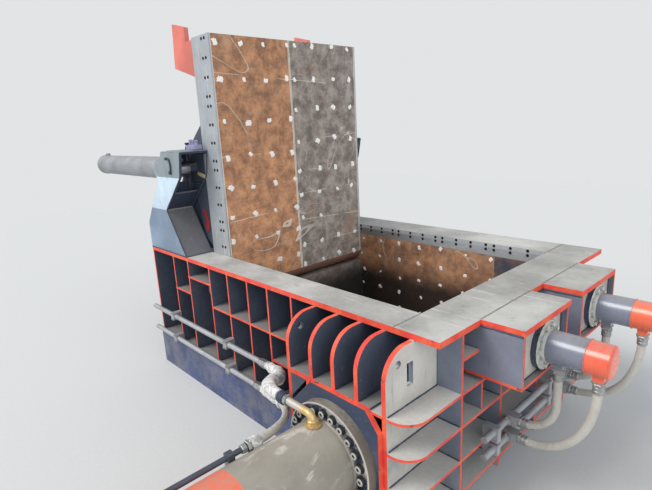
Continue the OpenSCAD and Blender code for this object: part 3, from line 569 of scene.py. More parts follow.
def main_cylinder_zones(f):
    """Flange with a dark dusty face, a light rim line and brown sides; rubbed tube; pale port boss."""
    across, up = f.x - MAIN_X, f.z - MAIN_Z
    from_axis = (across * across + up * up).math("SQRT")
    flange = f.y > FLANGE_Y - 0.004
    past_gland = from_axis > MAIN_R + 0.0105
    face = flange * (f.y < FLANGE_Y + 0.002) * past_gland
    line = flange * (f.y < FLANGE_Y + 0.005) * (from_axis > FLANGE_R - 0.0075)
    side = (f.y > FLANGE_Y + 0.005) * past_gland
    rubbed = f.noise(5, 7, 0.75, stretch=(1, 0.45, 1), distortion=0.7)
    place = (f.y < -1.42) * (across > -0.10) * f.z.rise(0.45, 0.62)
    on_boss = (abs(f.x - ELBOW_X) < 0.046) * (abs(f.y - PORT_Y) < 0.046)
    boss = on_boss * (f.z > MAIN_Z + MAIN_R + 0.0015)
    settled = f.noise(9, 6, 0.7).rise(0.42, 0.60) * (0.35 + f.x.rise(0.70, 0.95) * 0.5)
    return (
        (place * rubbed.rise(0.52, 0.60) * 0.85, tint("pale_dust")),
        (side, tint("stain")),
        (face, tint("shade")),
        (face * settled, tint("pale_dust")),
        (line, tint("pale_dust")),
        (boss, tint("pale_dust")),
    )


def pale_face_shaded_rest(f):
    """Only the front faces of the flange bolts are pale; their recesses and sides stay dark as painted
    shade.
    """
    return ((f.y < FLANGE_Y - 0.0215, tint("pale_bolt")),)


def lock_cylinder_zones(f):
    """Pale flange face with its bolts, inside a dark rim."""
    across = abs(f.y - LOCK_YS[0]).math("MINIMUM", abs(f.y - LOCK_YS[1]))
    up = f.z - LOCK_Z
    from_axis = (across * across + up * up).math("SQRT")
    flange = f.x < LOCK_FACE + 0.051
    face = flange * (f.x > LOCK_FACE + 0.029) * (from_axis < LOCK_FLANGE_R - 0.004)
    return ((flange, tint("shade")), (face, tint("flange_grey")))


def sleeve_weave(name):
    """Woven sleeve over a hose, from the hose's own UV map: u round it, v along it in metres."""
    f = Finish(name)
    u, v, _ = f.parts(f.node("ShaderNodeUVMap", out="UV"))
    one = ((u * 24.0 + v * 260.0) * math.pi).math("SINE")
    two = ((u * 24.0 - v * 260.0) * math.pi).math("SINE")
    weave = one * two
    grime = f.noise(9, 7, 0.7)
    cloth = f.blend(weave.rise(-0.4, 0.6), f.scaled(tint("sleeve"), 0.72), tint("sleeve"))
    soiled = f.blend(grime.rise(0.46, 0.72) * 0.45, cloth, tint("dust"))
    wet = f.blend(f.noise(21, 6, 0.7).rise(0.62, 0.72) * 0.45, soiled, tint("dirt"))
    return f.done(wet, 0.88, 0.0, bumps=((weave, 0.0012), (grime, 0.004)))


def wrap_cloth(name):
    """White lagging, creased, darker in its creases as painted shade, and spotted with grease."""
    f = Finish(name)
    crease = f.noise(28, 7, 0.72, distortion=0.9)
    grime = f.noise(12, 7, 0.7)
    # Darker in the creases: painted shade in the folds of the lagging
    cloth = f.blend(crease.rise(0.36, 0.62), f.scaled(tint("rag"), 0.55), tint("rag"))
    soiled = f.blend(grime.rise(0.52, 0.66) * 0.55, cloth, tint("stain"))
    return f.done(soiled, 0.92, 0.0, bumps=((crease, 0.007), (grime, 0.003)))


def plain_metal(name, colour, rough=0.45, metallic=0.6, dirt=0.35, zones=None):
    """Small ironmongery: zinc, black oxide or brass, dirty in its corners."""
    f = Finish(name)
    for share, over in zones(f) if zones else ():
        colour = f.blend(share, colour, over)
    film = f.noise(22, 6, 0.7)
    tone = f.blend(film.rise(0.42, 0.72) * dirt, colour, tint("dirt"))
    return f.done(tone, rough + film * 0.2, metallic, bumps=((film, 0.0005),))


def weld_metal(name, colour):
    """Weld bead with its ripples, painted over or bare."""
    f = Finish(name)
    ripple = f.noise(150, 3, 0.5)
    tone = f.blend(ripple.rise(0.4, 0.65) * 0.6, colour, f.scaled(colour, 0.5))
    spots = f.blend(f.noise(30, 5, 0.7).rise(0.6, 0.68) * 0.6, tone, tint("rust"))
    return f.done(spots, 0.62, 0.2, bumps=((ripple, 0.0012),))


def floor_finish(name):
    """Pale concrete."""
    f = Finish(name)
    speck = f.noise(40, 6, 0.6)
    tone = f.blend(speck, (0.60, 0.60, 0.60), (0.68, 0.68, 0.67))
    return f.done(tone, 0.9, 0.0, bumps=((speck, 0.0008),))


SIDE_RIM = {"near": (("y", -1, 0.93),), "far": (("y", 1, 0.93),)}
FINISHES = {
    "near_steelwork": lambda name: plate_paint(name, SIDE_RIM["near"], corner=-1),
    "far_steelwork": lambda name: plate_paint(name, SIDE_RIM["far"]),
    # The end frame's slate is painted lighter, as lit, with pale dust over it
    "end_steelwork": lambda name: plate_paint(
        name, (("x", 1, 1.15), ("y", -1, 1.24)), corner=-1, base="paint_lit", dust=0.62,
        zones=end_zones, dust_tone="pale_dust"),
    "lock_box_paint": lambda name: plate_paint(
        name, (("x", 1, 1.52),), base="box_slate", zones=lock_box_zones, low_edge=0.8765),
    "mount_plate_paint": lambda name: plate_paint(
        name, (("z", 1, 0.2), ("x", -1, -5), ("x", 1, 0.5)), base="mount_slate"),
    "housing_paint": plate_paint,
    # The sills' blue is painted sky reflection on their dark grey paint
    "base_paint": lambda name: plate_paint(name, base="sill_sky_reflection", dust=0.6),
    # The towers' blue is the slate painted lighter, as sunlit, with dust and the zones over it
    "tower_paint": lambda name: plate_paint(name, base="tower_sunlit_blue", dust=0.4, zones=tower_zones),
    "lid_paint": lambda name: plate_paint(name, base="paint", zones=hub_zones),
    "cover_green": lambda name: plate_paint(name, base="cover_green", dust=0.4),
    "lug_red": lambda name: plate_paint(name, base="lug_pink", dust=0.4),
    "top_near_finish": lambda name: top_plate(name, (("y", -1, 1.0), ("x", -1, 1.9))),
    "top_far_finish": lambda name: top_plate(name, (("y", 1, 1.0), ("x", -1, 1.9))),
    "top_end_finish": lambda name: top_plate(name, (("x", 1, 1.1), ("y", -1, -0.9), ("y", 1, -0.9))),
    "top_left_finish": lambda name: top_plate(name, (("x", -1, 1.9),)),
    "floor_plate_finish": lambda name: rusted_liner(name, 0.30),
    "liner_orange": lambda name: rusted_liner(
        name, 0.60, LID_ROWS_NEAR[1:7:2], LID_EDGE, dark_bottom=False, lift=0.34),
    "liner_brown": lambda name: rusted_liner(
        name, 0.27, LID_ROWS_FAR[1:8], LID_EDGE, dark_bottom=False, lift=0.16),
    "liner_walls": lambda name: rusted_liner(name, 0.58),
    "ram_face": lambda name: rusted_liner(name, 0.35),
    "strip_steel": lambda name: blade_steel(name, "z"),
    "blade_steel": lambda name: blade_steel(name, "x"),
    "rod_steel": lambda name: bright_steel(name, srgb(196, 198, 202), 0.16, 0.95, 0.12),
    "pipe_steel": lambda name: bright_steel(name, tint("pipe"), 0.40, 0.45, 0.35, pipe_zones),
    "main_cylinder_paint": lambda name: cylinder_paint(
        name, "primer", "y", -1, 1.98, main_cylinder_zones, 0.38),
    "lock_cylinder_paint": lambda name: cylinder_paint(
        name, "cylinder_grey", "x", 1, 1.745, lock_cylinder_zones, 0.20, 0.6),
    "lid_cylinder_paint": lambda name: bright_steel(name, srgb(164, 166, 170), 0.5, 0.2, 0.4),
    "sleeve_cloth": sleeve_weave,
    "wrap_cloth": wrap_cloth,
    "zinc": lambda name: plain_metal(name, srgb(176, 178, 176), 0.38, 0.8),
    "black_bolt": lambda name: plain_metal(name, srgb(42, 43, 46), 0.42, 0.5, 0.2),
    # Dark base: painted shade in the bolts' recesses and on their sides
    "flange_bolt": lambda name: plain_metal(name, srgb(40, 41, 44), 0.5, 0.2, 0.3, pale_face_shaded_rest),
    "brass": lambda name: plain_metal(name, tint("brass"), 0.30, 0.45, 0.25, elbow_zones),
    "brass_ring": lambda name: plain_metal(name, tint("brass"), 0.34, 0.7, 0.3),
    "blue_fitting": lambda name: plain_metal(name, srgb(38, 44, 96), 0.4, 0.2, 0.2),
    "lavender_fitting": lambda name: plain_metal(name, srgb(158, 156, 190), 0.45, 0.2, 0.2),
    "cream_block": lambda name: plain_metal(name, srgb(222, 208, 164), 0.6, 0.0, 0.3),
    "red_cloth": lambda name: plain_metal(name, srgb(178, 44, 50), 0.7, 0.0, 0.5),
    # Dark trim: real on the handles and tape, painted shade on the towers' mouth sheets and the lid's
    # dark plates
    "dark_trim": lambda name: plain_metal(name, tint("shade"), 0.5, 0.1, 0.4),
    "weld_slate": lambda name: weld_metal(name, tint("paint")),
    "weld_red": lambda name: weld_metal(name, tint("edge_red")),
    "weld_grey": lambda name: weld_metal(name, tint("top_dark")),
    "chalk_weld": lambda name: plain_metal(name, srgb(255, 253, 248), 0.8, 0.0, 0.08),
    "floor_tone": floor_finish,
}
MADE = {}


def finish(name):
    """The material of that name, made when it is first asked for."""
    if name not in MADE:
        MADE[name] = FINISHES[name](name)
    return MADE[name]


# Mesh helpers


def new_piece(name, bm, finish_name, body="frame", smooth=True):
    """Links a finished mesh as a piece that rides on a body."""
    bmesh.ops.recalc_face_normals(bm, faces=bm.faces)
    mesh = bpy.data.meshes.new(name)
    bm.to_mesh(mesh)
    bm.free()
    return link_mesh(name, mesh, finish_name, body, smooth)


def link_mesh(name, mesh, finish_name, body="frame", smooth=True):
    """Links a plain mesh as a piece that rides on a body. Without a finish it keeps its own."""
    if finish_name:
        mesh.materials.clear()
        mesh.materials.append(finish(finish_name))
    if smooth:
        mesh.shade_smooth()
        mesh.set_sharp_from_angle(angle=math.radians(32))
    made = bpy.data.objects.new(name, mesh)
    bpy.context.scene.collection.objects.link(made)
    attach(made, body)
    return made


AXES = {
    "x": Matrix(((0, 0, 1), (1, 0, 0), (0, 1, 0))).to_4x4(),
    "y": Matrix(((0, 1, 0), (0, 0, 1), (1, 0, 0))).to_4x4(),
    "z": Matrix.Identity(4),
}
UPWARD = AXES["z"]


def facing(axis, sign=1):
    """A turn that takes +Z to that signed axis."""
    turn = AXES[axis]
    return turn @ Matrix.Rotation(math.pi, 4, "X") if sign < 0 else turn.copy()


def lathe(bm, profile, at, turn, segments=24, roll=0.0):
    """Adds a closed turned shape to bm. Its profile is (radius, height) pairs along +Z of turn."""
    place = Matrix.Translation(at) @ turn @ Matrix.Rotation(roll, 4, "Z")
    rings = []
    for radius, height in profile:
        if radius < 1e-6:
            rings.append([bm.verts.new(place @ Vector((0, 0, height)))])
        else:
            rings.append([
                bm.verts.new(place @ Vector((
                    radius * math.cos(2 * math.pi * k / segments),
                    radius * math.sin(2 * math.pi * k / segments), height)))
                for k in range(segments)])
    for low, high in zip(rings, rings[1:]):
        for k in range(segments):
            n = (k + 1) % segments
            if len(low) == 1 and len(high) == 1:
                continue
            if len(low) == 1:
                bm.faces.new((low[0], high[n], high[k]))
            elif len(high) == 1:
                bm.faces.new((low[k], low[n], high[0]))
            else:
                bm.faces.new((low[k], low[n], high[n], high[k]))
    if len(rings[0]) > 1:
        bm.faces.new(list(reversed(rings[0])))
    if len(rings[-1]) > 1:
        bm.faces.new(rings[-1])


def hex_profile(radius, height, ease=0.12):
    """Profile of a nut or a head with eased corners, for a lathe of six segments."""
    return [(radius * 0.9, 0.0), (radius, radius * ease), (radius, height - radius * ease),
            (radius * 0.86, height)]


def slab(bm, outline, thickness, place, ease=0.0):
    """Adds a plate to bm from an outline in its own X and Y, with eased edges."""
    made = bmesh.new()
    low = [made.verts.new((x, y, 0.0)) for x, y in outline]
    high = [made.verts.new((x, y, thickness)) for x, y in outline]
    made.faces.new(list(reversed(low)))
    made.faces.new(high)
    for k in range(len(outline)):
        n = (k + 1) % len(outline)
        made.faces.new((low[k], low[n], high[n], high[k]))
    bmesh.ops.recalc_face_normals(made, faces=made.faces)
    if ease:
        bmesh.ops.bevel(made, geom=list(made.edges), offset=ease, segments=2, profile=0.6,
                        affect="EDGES")
    made.transform(place)
    spare = bpy.data.meshes.new("spare")
    made.to_mesh(spare)
    made.free()
    bm.from_mesh(spare)
    bpy.data.meshes.remove(spare)


def box_slab(bm, low, high, ease=0.002):
    """Adds a rectangular block with eased edges between two corners."""
    width, depth = high[0] - low[0], high[1] - low[1]
    slab(bm, [(0, 0), (width, 0), (width, depth), (0, depth)], high[2] - low[2],
         Matrix.Translation(low), ease)


def along(way):
    """A turn that takes +Z to a direction."""
    return Vector(way).to_track_quat("Z", "Y").to_matrix().to_4x4()


def tube_mesh(name, line, radius, sides=16):
    """A closed tube along a line of points, with a UV map: u round it, v along it in metres."""
    bm = bmesh.new()
    uv = bm.loops.layers.uv.new("along")
    line = [Vector(p) for p in line]
    tangents = [
        (line[min(i + 1, len(line) - 1)] - line[max(i - 1, 0)]).normalized() for i in range(len(line))]
    side = tangents[0].orthogonal().normalized()
    rings, runs = [], []
    run = 0.0
    for i, (point, tangent) in enumerate(zip(line, tangents)):
        if i:
            run += (point - line[i - 1]).length
            side = (side - tangent * side.dot(tangent)).normalized()
        up = tangent.cross(side)
        r = radius(run) if callable(radius) else radius
        rings.append([bm.verts.new(point + r * (math.cos(2 * math.pi * k / sides) * side
                                                + math.sin(2 * math.pi * k / sides) * up))
                      for k in range(sides)])
        runs.append(run)
    for i in range(len(rings) - 1):
        for k in range(sides):
            n = (k + 1) % sides
            face = bm.faces.new((rings[i][k], rings[i][n], rings[i + 1][n], rings[i + 1][k]))
            for loop, (u, v) in zip(face.loops, ((k, i), (k + 1, i), (k + 1, i + 1), (k, i + 1))):
                loop[uv].uv = (u / sides, runs[v])
    bm.faces.new(list(reversed(rings[0])))
    bm.faces.new(rings[-1])
    mesh = bpy.data.meshes.new(name)
    bm.to_mesh(mesh)
    bm.free()
    return mesh, run


# Geometry Nodes


class Tree:
    """A Geometry Nodes tree for a modifier, with named inputs."""

    def __init__(self, name, inputs):
        self.tree = bpy.data.node_groups.new(name, "GeometryNodeTree")
        self.tree.is_modifier = True
        face = self.tree.interface
        face.new_socket("Geometry", in_out="INPUT", socket_type="NodeSocketGeometry")
        self.keys = {}
        for label, kind, default in inputs:
            socket = face.new_socket(label, in_out="INPUT", socket_type=kind)
            if default is not None:
                socket.default_value = default
            self.keys[label] = socket.identifier
        face.new_socket("Geometry", in_out="OUTPUT", socket_type="NodeSocketGeometry")
        self.start = self.tree.nodes.new("NodeGroupInput")
        self.end = self.tree.nodes.new("NodeGroupOutput")

    def given(self, label):
        """A named input of the modifier."""
        return self.start.outputs[label]

    def node(self, kind, settings=None, inputs=None, out=0):
        """Adds a node: its settings first, then the values or links of its sockets."""
        made = self.tree.nodes.new(kind)
        for key, value in (settings or {}).items():
            setattr(made, key, value)
        for key, value in (inputs or {}).items():
            socket = self.socket(made, key)
            if isinstance(value, bpy.types.NodeSocket):
                self.tree.links.new(value, socket)
            else:
                socket.default_value = value
        if isinstance(out, str):
            return next(s for s in made.outputs if out in (s.identifier, s.name))
        return made.outputs[out]

    @staticmethod
    def socket(made, key):
        """An input socket by its number, name or identifier."""
        if isinstance(key, int):
            return made.inputs[key]
        return next(s for s in made.inputs if key in (s.identifier, s.name))

    def finished(self, geometry, material):
        """Ends the tree with real geometry in one material."""
        realised = self.node("GeometryNodeRealizeInstances", None, {0: geometry})
        coloured = self.node("GeometryNodeSetMaterial", None, {0: realised, "Material": material})
        self.tree.links.new(coloured, self.end.inputs[0])
        return self


def fastener_rows_tree():
    """Sets one fastener on each point, all facing one way, each rolled at random about its axis."""
    t = Tree("fastener_rows", (
        ("Fastener", "NodeSocketObject", None),
        ("Facing", "NodeSocketVector", (0, 0, 0)),
        ("Smallest", "NodeSocketFloat", 1.0),
        ("Largest", "NodeSocketFloat", 1.0),
        ("Roll", "NodeSocketFloat", math.tau),
        ("Seed", "NodeSocketInt", 7),
        ("Finish", "NodeSocketMaterial", None),
    ))
    fastener = t.node("GeometryNodeObjectInfo", None, {"Object": t.given("Fastener")},
                      out="Geometry")
    roll = t.node("FunctionNodeRandomValue", {"data_type": "FLOAT"},
                  {"Max_001": t.given("Roll"), "Seed": t.given("Seed")}, out="Value_001")
    spin = t.node("ShaderNodeCombineXYZ", None, {"Z": roll})
    base = t.node("FunctionNodeEulerToRotation", None, {0: t.given("Facing")})
    turned = t.node("FunctionNodeRotateRotation", {"rotation_space": "LOCAL"},
                    {0: base, 1: t.node("FunctionNodeEulerToRotation", None, {0: spin})})
    size = t.node("FunctionNodeRandomValue", {"data_type": "FLOAT"},
                  {"Min_001": t.given("Smallest"), "Max_001": t.given("Largest"),
                   "Seed": t.given("Seed")}, out="Value_001")
    set_out = t.node("GeometryNodeInstanceOnPoints", None,
                     {"Points": t.given("Geometry"), "Instance": fastener, "Rotation": turned,
                      "Scale": size})
    return t.finished(set_out, t.given("Finish"))


def weld_run_tree():
    """Runs a rippled weld bead along every edge of a wire mesh."""
    t = Tree("weld_run", (
        ("Bead", "NodeSocketFloat", 0.005),
        ("Step", "NodeSocketFloat", 0.02),
        ("Ripple", "NodeSocketFloat", 0.004),
        ("Finish", "NodeSocketMaterial", None),
    ))
    line = t.node("GeometryNodeMeshToCurve", None, {0: t.given("Geometry")})
    even = t.node("GeometryNodeResampleCurve", {"mode": "LENGTH"},
                  {"Curve": line, "Length": t.given("Step")})
    ring = t.node("GeometryNodeCurvePrimitiveCircle", None,
                  {"Resolution": 6, "Radius": t.given("Bead")})
    bead = t.node("GeometryNodeCurveToMesh", None,
                  {"Curve": even, "Profile Curve": ring, "Fill Caps": True})
    wave = t.node("ShaderNodeTexNoise", None,
                  {"Vector": t.node("GeometryNodeInputPosition"), "Scale": 70.0, "Detail": 1.0})
    centred = t.node("ShaderNodeMath", {"operation": "SUBTRACT"}, {0: wave, 1: 0.5})
    amount = t.node("ShaderNodeMath", {"operation": "MULTIPLY"}, {0: centred, 1: t.given("Ripple")})
    push = t.node("ShaderNodeVectorMath", {"operation": "SCALE"},
                  {0: t.node("GeometryNodeInputNormal"), "Scale": amount})
    rippled = t.node("GeometryNodeSetPosition", None, {"Geometry": bead, "Offset": push})
    return t.finished(rippled, t.given("Finish"))


TREE_MAKERS = {"fastener_rows": fastener_rows_tree, "weld_run": weld_run_tree}
TREES = {}


def tree(name):
    """The tree of that name, made when it is first asked for."""
    if name not in TREES:
        TREES[name] = TREE_MAKERS[name]()
    return TREES[name]


def grown_mesh(name, verts, edges, kind, values):
    """Runs a tree on points or wires, and returns the plain mesh that it makes."""
    wire = bpy.data.meshes.new(name + "_wire")
    wire.from_pydata(verts, edges, [])
    holder = bpy.data.objects.new(name + "_holder", wire)
    bpy.context.scene.collection.objects.link(holder)
    modifier = holder.modifiers.new(kind, "NODES")
    modifier.node_group = tree(kind).tree
    for label, value in values.items():
        modifier[tree(kind).keys[label]] = value
    bpy.context.view_layer.update()
    graph = bpy.context.evaluated_depsgraph_get()
    mesh = bpy.data.meshes.new_from_object(holder.evaluated_get(graph))
    mesh.name = name
    holder.modifiers.remove(modifier)
    bpy.data.objects.remove(holder)
    bpy.data.meshes.remove(wire)
    return mesh


def hidden_pattern(name, build):
    """A fastener's mesh as an object that isn't linked, for the trees to repeat."""
    bm = bmesh.new()
    build(bm)
    bmesh.ops.recalc_face_normals(bm, faces=bm.faces)
    mesh = bpy.data.meshes.new(name)
    bm.to_mesh(mesh)
    bm.free()
    return bpy.data.objects.new(name, mesh)


def socket_head(bm, radius, height):
    """Socket-head bolt with its recess, standing on a washer."""
    lathe(bm, [(radius * 1.35, 0.0), (radius * 1.4, radius * 0.1), (radius * 1.3, radius * 0.2),
               (radius, radius * 0.2), (radius, height * 0.86), (radius * 0.9, height),
               (radius * 0.52, height), (radius * 0.48, height * 0.55), (0.0, height * 0.5)],
          Vector(), UPWARD, 12)


def hex_head(bm, radius, height):
    """Hexagon bolt head on a round washer."""
    lathe(bm, [(radius * 1.25, 0.0), (radius * 1.28, radius * 0.1), (radius * 1.2, radius * 0.18),
               (0.0, radius * 0.18)], Vector(), UPWARD, 16)
    lathe(bm, [(radius * 0.98, radius * 0.16), (radius, radius * 0.26), (radius, height * 0.9),
               (radius * 0.84, height), (0.0, height * 1.02)], Vector(), UPWARD, 6)


def flush_bolt(bm, radius, height):
    """Low countersunk head with a hexagon recess."""
    lathe(bm, [(radius * 1.1, 0.0), (radius, height), (radius * 0.55, height),
               (radius * 0.5, height * 0.2), (0.0, height * 0.15)], Vector(), UPWARD, 12)


BLOB_POINTS = {1: 0.34, 2: 0.12, 7: 0.18, 11: 0.36, 17: 0.24}


def weld_blob(bm, radius, height):
    """Plug weld: a low dome that has run out in uneven points, taller than wide on the lid."""
    rng = random.Random(11)
    sides = 20
    lathe(bm, [(radius, 0.0), (radius * 0.96, height * 0.45), (radius * 0.72, height * 0.85),
               (radius * 0.42, height), (radius * 0.2, height * 0.8), (0.0, height * 0.75)],
          Vector(), UPWARD, sides)
    reach = [rng.uniform(0.74, 0.98) + BLOB_POINTS.get(k, 0.0) for k in range(sides)]
    for v in bm.verts:
        k = round(math.atan2(v.co.y, v.co.x) / math.tau * sides) % sides
        far_out = min(math.hypot(v.co.x, v.co.y) / radius, 1.0)
        spread = 1.0 + (reach[k] - 1.0) * far_out
        v.co.x *= spread * 0.86
        v.co.y *= spread * 1.22


PATTERNS = {}
PATTERN_MAKERS = {
    "socket_head": socket_head,
    "hex_head": hex_head,
    "flush_bolt": flush_bolt,
    "weld_blob": weld_blob,
}


def fasteners(name, points, kind, radius, height, axis, sign, finish_name, body="frame",
              spread=(1.0, 1.0), seed=7, roll=math.tau):
    """One piece of like fasteners, all facing along a signed axis."""
    key = (kind, radius, height)
    if key not in PATTERNS:
        PATTERNS[key] = hidden_pattern(
            f"{kind}_{len(PATTERNS)}", lambda bm: PATTERN_MAKERS[kind](bm, radius, height))
    euler = facing(axis, sign).to_euler()
    mesh = grown_mesh(name, [tuple(p) for p in points], [], "fastener_rows", {
        "Fastener": PATTERNS[key], "Facing": tuple(euler), "Smallest": spread[0],
        "Largest": spread[1], "Roll": roll, "Seed": seed, "Finish": finish(finish_name)})
    return link_mesh(name, mesh, None, body)


def welds(name, lines, bead, finish_name, body="frame"):
    """One piece of weld beads along straight lines, each a pair of points or a longer run."""
    verts, edges = [], []
    for line in lines:
        for i, point in enumerate(line):
            if i:
                edges.append((len(verts) - 1, len(verts)))
            verts.append(tuple(point))
    mesh = grown_mesh(name, verts, edges, "weld_run", {
        "Bead": bead, "Step": 0.022, "Ripple": bead * 1.1, "Finish": finish(finish_name)})
    return link_mesh(name, mesh, None, body)


# Hoses: where each one runs, and what is tied round it


def lock_hoses(side, y):
    """The two hoses of one lock cylinder, from its ports down to the tees on the end wall."""
    front, rear = LOCK_PORTS
    upper, lower = TEE_ZS
    down, inward = (0, 0, -1), (-1, 0, 0)
    return {
        f"hose_{side}_front": (((front, y, LOCK_PORT_Z), down, 0.221, 0.104937),
                               ((TEE_FACE, y, upper), inward, 0.015, 0.104937)),
        f"hose_{side}_rear": (((rear, y, LOCK_PORT_Z), down, 0.025, 0.330),
                              ((TEE_FACE, y, lower), inward, 0.015, 0.240)),
    }


# Both ends of each hose: the point, the hose's way there, its straight lead and its pull
HOSES = {
    "hose_main_front": (((UPPER_PIPE_END, PIPE_Y, UPPER_PIPE_Z), (1, 0, 0), 0.025, 0.450),
                        ((ELBOW_END_X, PORT_Y, ELBOW_AXIS_Z), (1, 0, 0), 0.025, 0.450)),
    "hose_main_rear": (((LOWER_PIPE_END, PIPE_Y, LOWER_PIPE_Z), (1, 0, 0), 0.025, 0.450),
                       ((REAR_PIPE_X, REAR_HOSE_Y, REAR_PIPE_Z), (0, -1, 0), 0.025, 0.260)),
    **lock_hoses("near", LOCK_YS[0]),
    **lock_hoses("far", LOCK_YS[1]),
}

# What is tied round a hose: hose, name, from and to along it, least radius, swell, finish, seed
WRAPS = (
    ("hose_main_front", "wrap", 0.030, 0.790, 0.031, 0.016, "wrap_cloth", 3),
    ("hose_main_front", "tape", 0.785, 0.858, 0.0365, 0.002, "dark_trim", 4),
    ("hose_main_rear", "wrap", 0.030, 0.400, 0.029, 0.013, "wrap_cloth", 5),
    ("hose_main_rear", "tail", 1.150, 1.232, 0.0355, 0.003, "wrap_cloth", 6),
)
LUMP_STEP = 0.045

FERRULE = ((0.026, 0.018), (0.0295, 0.022), (0.0295, 0.036), (0.0275, 0.039), (0.0295, 0.042),
           (0.0295, 0.058), (0.0262, 0.062))


def bezier(a, b, c, d, t):
    """A point on a cubic curve, t from 0 to 1."""
    s = 1.0 - t
    return a * s**3 + b * (3 * s * s * t) + c * (3 * s * t * t) + d * t**3


def hose_line(leaving, arriving, steps=28):
    """Centreline of a hose between its two ends, as the part's source lays it."""
    start, start_way = Vector(leaving[0]), Vector(leaving[1])
    end, end_way = Vector(arriving[0]), Vector(arriving[1])
    start_lead, start_pull = leaving[2:]
    end_lead, end_pull = arriving[2:]
    a = start + start_way * start_lead
    d = end - end_way * end_lead
    b = a + start_way * start_pull
    c = d - end_way * end_pull
    return [start] + [bezier(a, b, c, d, i / steps) for i in range(steps + 1)] + [end]


def wrapped(hose, part, start, end, least, swell, finish_name, seed):
    """Rag-like lagging or tape tied round a stretch of a hose."""
    run = 0.0
    kept = []
    line = hose_line(*HOSES[hose], steps=90)
    for before, point in zip(line, line[1:]):
        run += (point - before).length
        if start <= run <= end:
            kept.append(point)
    reach = end - start
    rng = random.Random(seed)
    lumps = [rng.uniform(0.1, 1.0) for _ in range(40)]

    def thick(at):
        share = min(max(at / reach, 0.0), 1.0)
        place = share * reach / LUMP_STEP
        k, part_way = int(place), place % 1.0
        lump = lumps[k] * (1.0 - part_way) + lumps[k + 1] * part_way
        return least + swell * lump * min(1.0, 8.0 * share, 8.0 * (1.0 - share))

    name = f"{hose}_{part}"
    mesh, _ = tube_mesh(name, kept, thick, 20)
    for v in mesh.vertices:
        v.co += v.normal * noise.noise(v.co * 24.0) * swell * 0.45
    return link_mesh(name, mesh, finish_name)


def add_hoses():
    """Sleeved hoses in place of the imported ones, with their lagging, nuts and crimped ends."""
    ends = bmesh.new()
    for name, (leaving, arriving) in HOSES.items():
        line = hose_line(leaving, arriving)
        mesh, run = tube_mesh(name + "_sleeve", line, HOSE_R)
        piece = link_mesh(name + "_sleeve", mesh, "sleeve_cloth")
        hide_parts(name)
        worn = [wrapped(*wrap) for wrap in WRAPS if wrap[0] == name]
        for point, way in ((line[0], Vector(leaving[1])), (line[-1], -Vector(arriving[1]))):
            turn = along(way)
            lathe(ends, hex_profile(0.034, 0.020), point, turn, 6)
            lathe(ends, FERRULE, point, turn, 20)
    new_piece("hose_ends", ends, "zinc")


# Paint


NODE_FINISHES = {
    "near_steelwork": ("near_wall", "ram_bridge", "main_housing"),
    "far_steelwork": ("far_wall", "far_lintel"),
    "end_steelwork": ("end_frame",),
    "lock_box_paint": ("lock_box_near", "lock_box_far"),
    "mount_plate_paint": ("main_mount_plate",),
    "housing_paint": ("left_end_plate", "side_bulkhead", "gate_rails", "gate_cylinder"),
    "base_paint": ("base_frame", "side_sills"),
    "tower_paint": ("tower_near", "tower_far"),
    "lid_paint": ("lid_frame", "lid_ears"),
    "lug_red": ("lid_lugs",),
    "top_near_finish": ("top_near",),
    "top_far_finish": ("top_far",),
    "top_end_finish": ("top_end",),
    "top_left_finish": ("top_left",),
    "floor_plate_finish": ("floor_plate",),
    "liner_orange": ("lid_liner_near",),
    "liner_brown": ("lid_liner_far",),
    "liner_walls": ("end_liner", "near_liner", "far_liner"),
    "ram_face": ("main_ram", "side_ram", "gate"),
    "strip_steel": ("lid_strips",),
    "blade_steel": ("shear_blades", "far_top_strip"),
    "rod_steel": ("main_rod", "side_rod", "lock_pin_near", "lock_pin_far", "gate_rod",
                  "lid_rod_near", "lid_rod_far", "hinge_pins"),
    "pipe_steel": ("near_pipes", "end_pipes"),
    "main_cylinder_paint": ("main_cylinder",),
    "lock_cylinder_paint": ("lock_cylinder_near", "lock_cylinder_far"),
    "lid_cylinder_paint": ("lid_cylinder_near", "lid_cylinder_far", "side_cylinder"),
    "brass": ("main_elbow",),
    "black_bolt": ("main_flange_bolts",),
    "sleeve_cloth": tuple(HOSES),
}


def paint_nodes():
    """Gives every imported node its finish."""
    for finish_name, members in NODE_FINISHES.items():
        for member in members:
            mesh = NODES[member].data
            mesh.materials.clear()
            mesh.materials.append(finish(finish_name))


# Main cylinder


def ring_points(y, radius, count):
    """Points evenly round the main cylinder's axis, the first one on top."""
    turns = [math.tau * k / count for k in range(count)]
    return [(MAIN_X + radius * math.sin(a), y, MAIN_Z + radius * math.cos(a)) for a in turns]


def add_flange_bolts():
    """Socket-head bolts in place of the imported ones."""
    radius = bpy.context.scene.baler_sizes.flange_bolt
    piece = fasteners("flange_bolts", ring_points(FLANGE_Y, FLANGE_BOLT_RING, 24), "socket_head",
                      radius, 0.026, "y", -1, "flange_bolt")
    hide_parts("main_flange_bolts")


